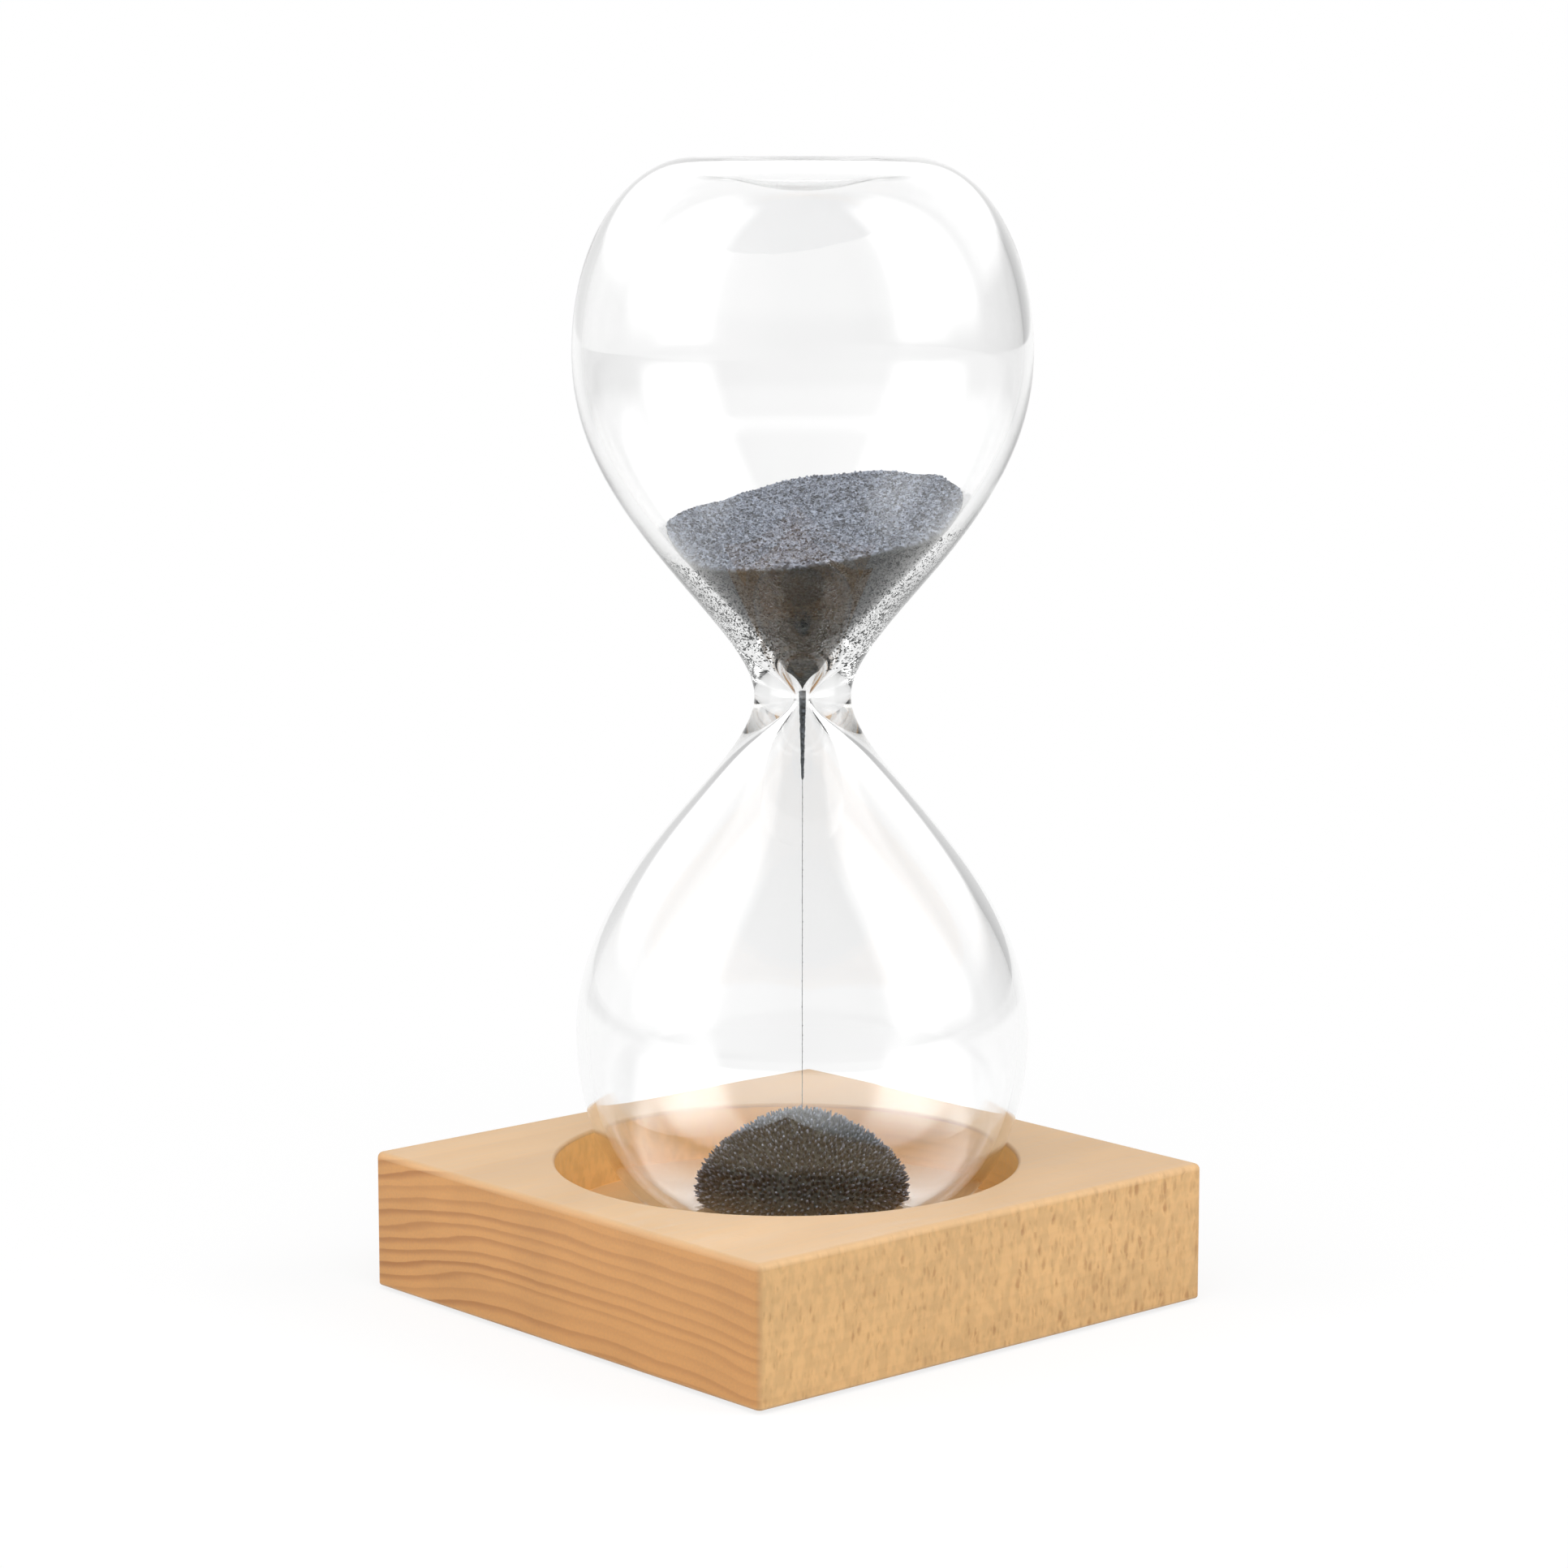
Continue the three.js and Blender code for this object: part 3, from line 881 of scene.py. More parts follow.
def grain_tree(material):
    """Loose grains on the upward faces of a heap, and splinters dark by painted shade on its sides that
    touch the glass.
    """
    named = {"Grain": "NodeSocketFloat", "Foot": "NodeSocketFloat", "Seed": "NodeSocketInt"}
    tree, given = growth_tree("grains", named)
    heap = given["Geometry"]
    seed = given["Seed"]
    normal = part_of(tree, add_node(tree, "GeometryNodeInputNormal").outputs[0], "Z")
    upward = above_level(tree, normal, UPWARD)
    spread = spread_points(tree, heap, given["Grain"], GRAIN_DENSITY, seed, upward)
    grain = loose_grain(tree, times(tree, given["Grain"], GRAIN_RADIUS))
    grains = grains_on(tree, spread["Points"], grain, seed)

    height = part_of(tree, add_node(tree, "GeometryNodeInputPosition").outputs[0], "Z")
    height = maths(tree, "SUBTRACT", height, given["Foot"])
    share = rising(tree, height, SPLINTER_START, SPLINTER_FULL)
    downward = above_level(tree, times(tree, normal, -1.0), DOWNWARD)
    apart = times(tree, given["Grain"], SPLINTER_SPACING)
    spread = spread_points(tree, heap, apart, SPLINTER_DENSITY, seed, downward, share)
    splinter = shaded_splinter(tree, times(tree, given["Grain"], SPLINTER_SIZE))
    touching = grains_on(tree, spread["Points"], splinter, seed)
    return end_tree(tree, [heap, grains, touching], material)


def spike_shape(tree, length, spacing):
    """One spike of filings, darkened towards its root by painted shade."""
    inputs = {
        "Vertices": 6,
        "Side Segments": 4,
        "Radius Top": times(tree, spacing, SPIKE_TIP),
        "Radius Bottom": times(tree, spacing, SPIKE_ROOT),
        "Depth": length,
    }
    cone = add_node(tree, "GeometryNodeMeshCone", inputs).outputs["Mesh"]
    place = add_node(tree, "GeometryNodeInputPosition").outputs[0]
    along = maths(tree, "DIVIDE", part_of(tree, place, "Z"), length)
    return painted_shade_mesh(tree, cone, falling(tree, along, *SPIKE_SHADE_FADES))


def spike_tree(material):
    """Spikes of filings that stand along the field on a dome, above its foot."""
    named = {
        "Length": "NodeSocketFloat",
        "Spacing": "NodeSocketFloat",
        "Lean": "NodeSocketFloat",
        "Foot": "NodeSocketFloat",
        "Seed": "NodeSocketInt",
    }
    tree, given = growth_tree("spikes", named)
    place = add_node(tree, "GeometryNodeInputPosition").outputs[0]
    normal = add_node(tree, "GeometryNodeInputNormal").outputs[0]
    shown = {
        0: above_level(tree, part_of(tree, place, "Z"), given["Foot"]),
        1: above_level(tree, part_of(tree, normal, "Z"), SPIKE_LOWEST),
    }
    shown = add_node(tree, "FunctionNodeBooleanMath", shown, operation="AND").outputs[0]
    spread = spread_points(tree, given["Geometry"], given["Spacing"], SPIKE_DENSITY, given["Seed"], shown)
    lift = add_node(tree, "ShaderNodeCombineXYZ", {"Z": given["Lean"]}).outputs[0]
    stray = random_vector(tree, -SPIKE_STRAY, SPIKE_STRAY, given["Seed"])
    field = vector_maths(tree, "ADD", spread["Normal"], vector_maths(tree, "ADD", lift, stray))
    turn = add_node(tree, "FunctionNodeAlignRotationToVector", {"Vector": field}, axis="Z")
    inputs = {
        "Points": spread["Points"],
        "Instance": spike_shape(tree, given["Length"], given["Spacing"]),
        "Rotation": turn.outputs[0],
        "Scale": random_vector(tree, *SPIKE_SCALE, given["Seed"]),
    }
    spikes = add_node(tree, "GeometryNodeInstanceOnPoints", inputs).outputs[0]
    return end_tree(tree, [given["Geometry"], spikes], material)


def thread_tree(material):
    """Grains strewn along the surface of the falling thread."""
    tree, given = growth_tree("thread", {"Grain": "NodeSocketFloat", "Seed": "NodeSocketInt"})
    apart = times(tree, given["Grain"], THREAD_SPACING)
    spread = spread_points(tree, given["Geometry"], apart, GRAIN_DENSITY, given["Seed"])
    grain = loose_grain(tree, times(tree, given["Grain"], THREAD_GRAIN))
    grains = grains_on(tree, spread["Points"], grain, given["Seed"])
    return end_tree(tree, [given["Geometry"], grains], material)


def fibre_tree(material):
    """Short fibres that stand out of the felt."""
    tree, given = growth_tree("fibres", {"Length": "NodeSocketFloat", "Seed": "NodeSocketInt"})
    spread = spread_points(tree, given["Geometry"], FIBRE_SPACING, FIBRE_DENSITY, given["Seed"])
    thin = times(tree, given["Length"], FIBRE_RADIUS)
    shape = {"Vertices": 3, "Radius Top": thin, "Radius Bottom": thin, "Depth": given["Length"]}
    inputs = {
        "Points": spread["Points"],
        "Instance": add_node(tree, "GeometryNodeMeshCone", shape).outputs["Mesh"],
        "Rotation": random_turn(tree, -FIBRE_TURN, FIBRE_TURN, given["Seed"]),
    }
    fibres = add_node(tree, "GeometryNodeInstanceOnPoints", inputs).outputs[0]
    return end_tree(tree, [given["Geometry"], fibres], material)


def grown_mesh(name, base, tree, values):
    """The plain mesh that a tree makes on a base mesh. Values are given by the names of the inputs."""
    holder = place_object(name + "_holder", base)
    growth = holder.modifiers.new("growth", "NODES")
    growth.node_group = tree
    for item in tree.interface.items_tree:
        if item.in_out == "INPUT" and item.name in values:
            growth[item.identifier] = values[item.name]
    graph = bpy.context.evaluated_depsgraph_get()
    mesh = bpy.data.meshes.new_from_object(holder.evaluated_get(graph))
    mesh.name = name
    bpy.data.objects.remove(holder)
    return mesh


# Block.

# Fineness of the mesh.
EDGE_STEPS = 36
CORNER_STEPS = 8
ROUND_STEPS = 5
# Rings that hold the flat faces flat beside the eased edges, and the least radius of a corner.
SUPPORT = 0.12 * MM
LEAST_CORNER = 0.3 * MM
# How much of the turned finish, with its painted light, the floor of the recess has.
RECESS_FLOOR_PAINTED_LIGHT = 0.3


def square_ring(half, corner, level):
    """Points of a level square with rounded corners, anticlockwise from above."""
    points = []
    for side in range(4):
        straight = half - corner
        row = [(half, straight * (2 * k / EDGE_STEPS - 1)) for k in range(EDGE_STEPS)]
        for a in quarter_turns(CORNER_STEPS)[:-1]:
            row.append((straight + corner * math.cos(a), straight + corner * math.sin(a)))
        turn = Matrix.Rotation(side * math.pi / 2, 3, "Z")
        points += [turn @ Vector((x, y, level)) for x, y in row]
    return points


def block_rings(sizes):
    """Rings of the block from the roof of the magnet pocket round the outside to the recess floor, with the
    numbers of those on eased edges and on the turned wall of the recess."""
    half = (BLOCK_HIGH.x - BLOCK_LOW.x) / 2
    top = BLOCK_HIGH.z
    bottom = BLOCK_LOW.z
    recess = half - sizes.recess_wall
    floor = top - sizes.recess_depth
    pocket = (MAGNET_HIGH.x - MAGNET_LOW.x) / 2 + sizes.fit
    seat = (PAD_HIGH.x - PAD_LOW.x) / 2 + sizes.fit
    turns = [math.atan2(p.y, p.x) for p in square_ring(half, sizes.corner_radius, 0)]

    def circle(radius, level):
        return [round_point(radius, a, level) for a in turns]

    def square(inset, level):
        return square_ring(half - inset, max(sizes.corner_radius - inset, LEAST_CORNER), level)

    rings = [
        circle(pocket, GLUE_HIGH.z),
        circle(pocket, PAD_HIGH.z),
        circle(seat, PAD_HIGH.z),
        circle(seat, bottom),
        square(sizes.foot_ease + SUPPORT, bottom),
    ]
    eased = []
    arc = quarter_turns(ROUND_STEPS)
    for a in arc:
        eased.append(len(rings))
        lift = sizes.foot_ease * (1 - math.cos(a))
        rings.append(square(sizes.foot_ease * (1 - math.sin(a)), bottom + lift))
    rings.append(square(0, bottom + sizes.foot_ease + SUPPORT))
    rings.append(square(0, top - sizes.edge_ease - SUPPORT))
    for a in arc:
        eased.append(len(rings))
        rings.append(square(sizes.edge_ease * (1 - math.cos(a)), top - sizes.edge_ease * (1 - math.sin(a))))
    rings.append(square(sizes.edge_ease + SUPPORT, top))
    rim = recess + sizes.recess_ease
    rings.append(circle(rim + SUPPORT, top))
    for a in arc:
        eased.append(len(rings))
        drop = sizes.recess_ease * (1 - math.cos(a))
        rings.append(circle(rim - sizes.recess_ease * math.sin(a), top - drop))
    turned = [len(rings), len(rings) + 1]
    rings.append(circle(recess, top - sizes.recess_ease - SUPPORT))
    rings.append(circle(recess, floor))
    rings.append(circle(recess - sizes.recess_ease, floor))
    return rings, eased, turned


class HOURGLASS_OT_block(bpy.types.Operator):
    """Makes the beech block with its recess above and its pocket below"""

    bl_idname = "hourglass.block"
    bl_label = "Beech block"

    def execute(self, context):
        rings, eased, turned = block_rings(context.scene.hourglass_block)
        bm = bmesh.new()
        loft(bm, rings, upright(rings[0][0].z), upright(rings[-1][0].z))
        mesh = finished_mesh("beech_block", bm)
        numbers = [k for k, ring in enumerate(rings) for _ in ring]
        # Marks the eased edges, which the beech paints with a highlight.
        mark_points(mesh, "eased", [float(k in eased) for k in numbers] + [0.0, 0.0])
        # The recess wall takes the turned colour with its painted light, and the floor a share of it.
        shades = {k: 1.0 for k in turned}
        shades[len(rings) - 1] = RECESS_FLOOR_PAINTED_LIGHT
        shaded = [shades.get(k, 0.0) for k in numbers]
        mark_points(mesh, "turned", shaded + [0.0, RECESS_FLOOR_PAINTED_LIGHT])
        material = beech_material(context.scene.hourglass_finish)
        finish_piece("beech_block", mesh, material, "base", "beech", "base_block")
        return {"FINISHED"}


class HOURGLASS_OT_magnet(bpy.types.Operator):
    """Gives the hidden magnet and its glue their finishes"""

    bl_idname = "hourglass.magnet"
    bl_label = "Magnet and glue"

    def execute(self, context):
        colours = context.scene.hourglass_finish
        finishes = {"magnet": ferrite_material(colours), "magnet_glue": glue_material(colours)}
        for node, material in finishes.items():
            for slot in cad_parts[node].material_slots:
                slot.material = material
        return {"FINISHED"}


# Felt: the radius of its soft edge, the length of its fibres, the size and depth of its roughness,
# and the fineness of the mesh.
FELT_SOFT = 0.45 * MM
FELT_FIBRE = 0.5 * MM
FELT_WAVE = 1.6 * MM
FELT_ROUGH = 0.08 * MM
FELT_RINGS = 24
FELT_SEGMENTS = 96


class HOURGLASS_OT_felt(bpy.types.Operator):
    """Makes the felt pad with its soft edge and stray fibres"""

    bl_idname = "hourglass.felt"
    bl_label = "Felt pad"

    def execute(self, context):
        radius = (PAD_HIGH.x - PAD_LOW.x) / 2
        height = PAD_HIGH.z - PAD_LOW.z
        soft = FELT_SOFT
        arc = quarter_turns(ROUND_STEPS)
        profile = [(radius * k / FELT_RINGS, 0.0) for k in range(1, FELT_RINGS)]
        profile += [(radius - soft * (1 - math.sin(a)), soft * (1 - math.cos(a))) for a in arc]
        profile += [(radius - soft * (1 - math.cos(a)), height - soft * (1 - math.sin(a))) for a in arc]
        rings = []
        for r, level in profile:
            ring = turned_ring(r, PAD_LOW.z + level, Vector(), FELT_SEGMENTS)
            rough = [0.5 + 0.5 * noise.noise(p / FELT_WAVE) for p in ring]
            rings.append([p + upright(FELT_ROUGH * n) for p, n in zip(ring, rough)])
        bm = bmesh.new()
        loft(bm, rings, upright(PAD_LOW.z), upright(PAD_HIGH.z))
        base = finished_mesh("felt_base", bm)
        material = felt_material(context.scene.hourglass_finish)
        values = {"Length": FELT_FIBRE, "Seed": context.scene.hourglass_filings.seed}
        mesh = grown_mesh("felt_disc", base, fibre_tree(material), values)
        keep_above(mesh, PAD_LOW.z)
        finish_piece("felt_disc", mesh, material, "base", "felt", "felt_pad")
        return {"FINISHED"}


class HOURGLASS_OT_glass(bpy.types.Operator):
    """Makes the blown glass: both bulbs, the thick waist and the melted tip in one piece"""

    bl_idname = "hourglass.glass"
    bl_label = "Blown glass"

    def execute(self, context):
        sizes = context.scene.hourglass_glass
        outside = outer_wall(sizes)
        inside = inner_wall(sizes)
        bm = bmesh.new()
        glass_surface(bm, outside, sealed_end(sizes, outside), True, sizes.unevenness)
        glass_surface(bm, inside, inside, False, sizes.unevenness)
        mesh = finished_mesh("blown_glass", bm, math.pi)
        nodes = ("upper_bulb", "lower_bulb", "seal_tip")
        finish_piece("blown_glass", mesh, glass_material(), "glass", "clear_glass", *nodes)
        return {"FINISHED"}


# Filings.

# Upper heap: its pointed tip, its rounded edge, where its lip starts and how wide it is, the size and
# depth of its roughness, and the fineness of the mesh and of the search for its edge.
HEAP_TIP_LENGTH = 3 * MM
HEAP_EDGE = 0.4 * MM
LIP_START = 9 * MM
LIP_REACH = 13 * MM
HEAP_WAVE = 5 * MM
HEAP_ROUGH = 0.35 * MM
HEAP_SEGMENTS = 120
HEAP_RINGS = 40
HEAP_HALVINGS = 40


def iron(context):
    """The one material of all the filings."""
    found = bpy.data.materials.get("iron_filings.looks")
    if found is None:
        found = iron_material(context.scene.hourglass_finish)
        found.name = "iron_filings.looks"
    return found


def heap_top(sizes, side, x, y):
    """Height of the upper heap's top over the waist: a slope that climbs the glass on its low side."""
    along = x * math.cos(sizes.heap_side) + y * math.sin(sizes.heap_side)
    across = x * math.cos(side) + y * math.sin(side)
    lip = sizes.heap_lip * min(1.0, max(0.0, (-across - LIP_START) / LIP_REACH)) ** 2
    rough = noise.noise(Vector((x, y, 0)) / HEAP_WAVE) * HEAP_ROUGH
    return sizes.heap_height + along * math.tan(sizes.heap_slope) + lip + rough


def heap_edge(sizes, side, wall, turn):
    """Radius and height at which the heap's top meets the glass in one direction."""
    low = wall[0][1]
    high = max(h for _, h in wall)
    for _ in range(HEAP_HALVINGS):
        middle = (low + high) / 2
        radius = radius_at(wall, middle)
        if heap_top(sizes, side, radius * math.cos(turn), radius * math.sin(turn)) > middle:
            low = middle
        else:
            high = middle
    return radius_at(wall, low), low


def heap_mesh(glass, sizes, side):
    """The upper heap: the funnel of the glass from a pointed tip, filled to a sloping top."""
    throat = glass.orifice_radius - sizes.clearance
    wall = bulb_flank(glass, throat, THROAT_PULL, glass.wall + sizes.clearance)
    tip = HEAP_LOW.z - WAIST.z
    turns = [math.tau * k / HEAP_SEGMENTS for k in range(HEAP_SEGMENTS)]
    edges = [heap_edge(sizes, side, wall, a) for a in turns]
    rings = []
    for k in range(1, HEAP_RINGS + 1):
        ring = []
        for a, (_, top) in zip(turns, edges):
            height = tip + (top - HEAP_EDGE - tip) * k / HEAP_RINGS
            pointed = min(1.0, (height - tip) / HEAP_TIP_LENGTH)
            radius = radius_at(wall, height) * pointed
            ring.append(WAIST + round_point(radius, a, height))
        rings.append(ring)
    side_count = len(rings) * HEAP_SEGMENTS
    for k in range(HEAP_RINGS, 0, -1):
        ring = []
        for a, (edge, _) in zip(turns, edges):
            radius = (edge - HEAP_EDGE) * k / HEAP_RINGS
            x = radius * math.cos(a)
            y = radius * math.sin(a)
            ring.append(WAIST + Vector((x, y, heap_top(sizes, side, x, y))))
        rings.append(ring)
    top_count = len(rings) * HEAP_SEGMENTS - side_count
    bm = bmesh.new()
    loft(bm, rings, WAIST + upright(tip), WAIST + upright(heap_top(sizes, side, 0, 0)))
    mesh = finished_mesh("heap_base", bm)
    # Painted shade on the heap's sides against the glass, none on its lit top.
    mark_points(mesh, "packed", [1.0] * side_count + [0.0] * top_count + [1.0, 0.0])
    return mesh


class HOURGLASS_OT_heap(bpy.types.Operator):
    """Makes the filings still to run, with loose grains on their sloping top and splinters at the glass,
    dark by painted shade
    """

    bl_idname = "hourglass.heap"
    bl_label = "Upper heap"

    def execute(self, context):
        sizes = context.scene.hourglass_filings
        side = context.scene.hourglass_stage.azimuth
        material = iron(context)
        base = heap_mesh(context.scene.hourglass_glass, sizes, side)
        values = {"Grain": sizes.grain, "Foot": WAIST.z, "Seed": sizes.seed}
        mesh = grown_mesh("upper_heap", base, grain_tree(material), values)
        finish_piece("upper_heap", mesh, material, "glass", "iron_filings", "upper_filings")
        return {"FINISHED"}


# Falling thread: the share and the length of its swellings, how far it is darkened towards the colour of
# the painted shade, and the fineness of the mesh.
THREAD_ROUGH = 0.25
THREAD_WAVE = 0.9 * MM
THREAD_DARKENING = 0.7
THREAD_STEPS = 160
THREAD_SEGMENTS = 10


def thread_radius(sizes, level):
    """Radius of the falling thread at a level: thick in the waist, then parting into a thin trail."""
    narrow = WAIST.z - sizes.thread_narrowing
    radius = sizes.thread_core
    if level > narrow:
        widening = min(1.0, (level - narrow) / sizes.thread_narrowing)
        radius = sizes.thread_end + (sizes.thread_neck - sizes.thread_end) * widening
    return radius * (1 + THREAD_ROUGH * noise.noise(upright(level / THREAD_WAVE)))


class HOURGLASS_OT_thread(bpy.types.Operator):
    """Makes the thread of filings that falls from the orifice to the dome"""

    bl_idname = "hourglass.thread"
    bl_label = "Falling thread"

    def execute(self, context):
        sizes = context.scene.hourglass_filings
        material = iron(context)
        length = STREAM_HIGH.z - STREAM_LOW.z
        levels = [STREAM_LOW.z + length * k / THREAD_STEPS for k in range(THREAD_STEPS + 1)]
        axis = Vector((WAIST.x, WAIST.y, 0))
        rings = [turned_ring(thread_radius(sizes, z), z, axis, THREAD_SEGMENTS) for z in levels]
        bm = bmesh.new()
        foot = axis + upright(STREAM_LOW.z)
        loft(bm, rings, foot, foot + upright(length))
        base = finished_mesh("thread_base", bm)
        # Darkens the thread towards the filings' painted shade colour.
        mark_points(base, "packed", [THREAD_DARKENING] * len(base.vertices))
        values = {"Grain": sizes.grain, "Seed": sizes.seed}
        mesh = grown_mesh("falling_thread", base, thread_tree(material), values)
        finish_piece("falling_thread", mesh, material, "glass", "iron_filings", "filings_stream")
        return {"FINISHED"}


# Spiked dome: the strip above its foot that carries no spikes, and the fineness of the mesh.
DOME_BARE = 0.3 * MM
DOME_STEPS = 28
DOME_FOOT_STEPS = 4
DOME_SEGMENTS = 96


def dome_side(sizes, middle):
    """Profile of the dome without its spikes, from its steep foot to just under its crown."""
    side = []
    for k in range(-DOME_FOOT_STEPS, DOME_STEPS):
        across = math.cos(math.pi / 2 * k / DOME_STEPS)
        up = math.sin(math.pi / 2 * k / DOME_STEPS)
        power = sizes.crown_power if up > 0 else sizes.foot_power
        length = (across**power + abs(up) ** power) ** (1 / power)
        side.append((sizes.dome_radius * across / length, middle + sizes.dome_height * up / length))
    return side


class HOURGLASS_OT_dome(bpy.types.Operator):
    """Makes the filings that have run: a dome of spikes over the magnet"""

    bl_idname = "hourglass.dome"
    bl_label = "Spiked dome"

    def execute(self, context):
        glass = context.scene.hourglass_glass
        sizes = context.scene.hourglass_filings
        material = iron(context)
        bed = [(r, -h) for r, h in reversed(inner_wall(glass, sizes.clearance))]
        middle = -(BULB_HEIGHT - glass.wall - glass.dimple_depth) + sizes.dome_lift
        side = dome_side(sizes, middle)
        foot_radius, foot = side[0]
        under = [p for p in bed[1:] if p[0] < foot_radius and p[1] < middle]
        rings = [turned_ring(r, h, WAIST, DOME_SEGMENTS) for r, h in under + side]
        bm = bmesh.new()
        loft(bm, rings, WAIST + upright(bed[0][1]), WAIST + upright(middle + sizes.dome_height))
        base = finished_mesh("dome_base", bm)
        # Painted shade over the whole dome, for the shade between its spikes.
        mark_points(base, "packed", [1.0] * len(base.vertices))
        values = {
            "Length": sizes.spike_length,
            "Spacing": sizes.spike_spacing,
            "Lean": sizes.spike_lean,
            "Foot": WAIST.z + foot + DOME_BARE,
            "Seed": sizes.seed,
        }
        mesh = grown_mesh("spiked_dome", base, spike_tree(material), values)
        finish_piece("spiked_dome", mesh, material, "glass", "iron_filings", "lower_filings")
        return {"FINISHED"}


# Stage.

FLOOR_REACH = 4.0
GLASS_BOUNCES = 24
# The depths of a ray are whole numbers, so this tells none from one.
FIRST_BOUNCE = 0.5
# What the glass mirrors on both sides of the camera, as angles from it: softboxes, strips of bright
# table and windows in the table's painted sheen.
PANE_START = math.radians(50)
PANE_END = math.radians(100)
PANE_SOFT = math.radians(6)
STRIP_END = math.radians(84)
STRIP_SOFT = math.radians(9)
GLOSS_START = math.radians(34)
GLOSS_END = math.radians(60)
# The room that the glass mirrors. Heights are sines above the level, and sides are cosines of the
# angle to the camera, or to its right for what differs between left and right.
BOX_FOOT = (-0.02, 0.24)
BOX_HEAD = (0.87, 0.97)
CEILING = (0.5, 0.9)
CEILING_LIGHT = 0.35
LEFT_SIDE = (-0.9, 0.0)
LEFT_ROOM = 1.0
RIGHT_SIDE = (0.3, 0.9)
RIGHT_ROOM = 0.6
BEHIND = (-0.95, -0.55)
WALL_SIDE = (-0.6, -0.1)
WALL_FOOT = (0.15, 0.3)
WALL_HEAD = (0.5, 0.85)
WALL_HEAD_LIGHT = 0.5
# The floor, in metres from the middle of the block: its shadow, the table that the glass mirrors with a
# painted shadow next to the block, and the strips beside it.
SHADOW_REACH = (0.06, 0.2)
SHADOW_SHARE = 0.2
SHADOW_SHADE = 0.97
TABLE_NEAR = (0.06, 0.12)
TABLE_PAINTED_SHADOW = 0.75
TABLE_EDGE = (0.4, 0.8)
STRIP_NEAR = (0.07, 0.1)
STRIP_FAR = (1.0, 4.0)
FLOOR_GREY = 0.55
# The table's painted sheen: how flat a ray has to be, how far it reaches, on which side, and its gain in
# the windows.
GLOSS_FLATNESS = (0.4, 0.62)
GLOSS_REACH = (0.24, 0.32)
GLOSS_SIDE = (0.0, 0.3)
WINDOW_GAIN = 2


def towards(azimuth, elevation):
    """Unit vector from the object, with the azimuth taken round from the -Y side."""
    level = math.cos(elevation)
    return Vector((math.sin(azimuth) * level, -math.cos(azimuth) * level, math.sin(elevation)))


def looked_at(tree):
    """1 for rays that come straight to the camera, also through glass."""
    path = add_node(tree, "ShaderNodeLightPath").outputs
    unmirrored = maths(tree, "LESS_THAN", path["Glossy Depth"], FIRST_BOUNCE)
    through = times(tree, path["Is Transmission Ray"], unmirrored)
    seen = maths(tree, "MAXIMUM", path["Is Camera Ray"], through)
    return times(tree, seen, maths(tree, "LESS_THAN", path["Diffuse Depth"], FIRST_BOUNCE))


def straight_seen(tree, *kinds):
    """1 for rays of the given kinds that have not yet met a dull surface."""
    path = add_node(tree, "ShaderNodeLightPath").outputs
    seen = path[kinds[0]]
    for kind in kinds[1:]:
        seen = maths(tree, "MAXIMUM", seen, path[kind])
    return times(tree, seen, maths(tree, "LESS_THAN", path["Diffuse Depth"], FIRST_BOUNCE))


def camera_side(tree, stage, direction, turn=0.0):
    """Cosine of the angle round the object between a direction and the camera, or a turn right of it."""
    level = vector_maths(tree, "MULTIPLY", direction, (1, 1, 0))
    level = vector_maths(tree, "NORMALIZE", level)
    inputs = {0: level, 1: towards(stage.azimuth + turn, 0.0)}
    return add_node(tree, "ShaderNodeVectorMath", inputs, operation="DOT_PRODUCT").outputs["Value"]


def beside_camera(tree, facing, start, end, soft):
    """1 between two angles from the camera, on both its sides and with soft ends."""
    inner = falling(tree, facing, math.cos(start + soft), math.cos(start - soft))
    outer = rising(tree, facing, math.cos(end + soft), math.cos(end - soft))
    return times(tree, inner, outer)


def studio_world(stage):
    """White where it is looked at, and a plain fill for the lighting. The glass mirrors the studio: a white
    backdrop, a dim room and ceiling, and a tall softbox on each side of the camera."""
    world = bpy.data.worlds.new("studio")
    world.use_nodes = True
    tree = world.node_tree
    tree.nodes.clear()
    direction = add_node(tree, "ShaderNodeTexCoord").outputs["Generated"]
    rise = part_of(tree, direction, "Z")
    facing = camera_side(tree, stage, direction)
    boxes = beside_camera(tree, facing, PANE_START, PANE_END, PANE_SOFT)
    boxes = times(tree, boxes, rising(tree, rise, *BOX_FOOT), falling(tree, rise, *BOX_HEAD))

    side = camera_side(tree, stage, direction, math.pi / 2)
    left = falling(tree, side, *LEFT_SIDE)
    dim = remap(tree, side, *RIGHT_SIDE, 1.0, RIGHT_ROOM)
    room = blend(tree, left, stage.room, LEFT_ROOM)
    mirrored = blend(tree, falling(tree, facing, *BEHIND), room, dim)
    mirrored = blend(tree, rising(tree, rise, *CEILING), mirrored, CEILING_LIGHT)
    mirrored = blend(tree, boxes, mirrored, stage.pane)

    wall = times(tree, falling(tree, facing, *WALL_SIDE), rising(tree, rise, *WALL_FOOT))
    wall = times(tree, wall, remap(tree, rise, *WALL_HEAD, 1.0, WALL_HEAD_LIGHT))
    inside = times(tree, dim, blend(tree, left, stage.inside, LEFT_ROOM))
    through = blend(tree, boxes, blend(tree, wall, inside, stage.backdrop), stage.pane)

    light = blend(tree, straight_seen(tree, "Is Glossy Ray"), stage.fill, mirrored)
    light = blend(tree, straight_seen(tree, "Is Transmission Ray"), light, through)
    light = blend(tree, looked_at(tree), light, 1.0)
    background = add_node(tree, "ShaderNodeBackground", {"Color": WHITE, "Strength": light})
    add_node(tree, "ShaderNodeOutputWorld", {"Surface": background.outputs[0]})
    return world


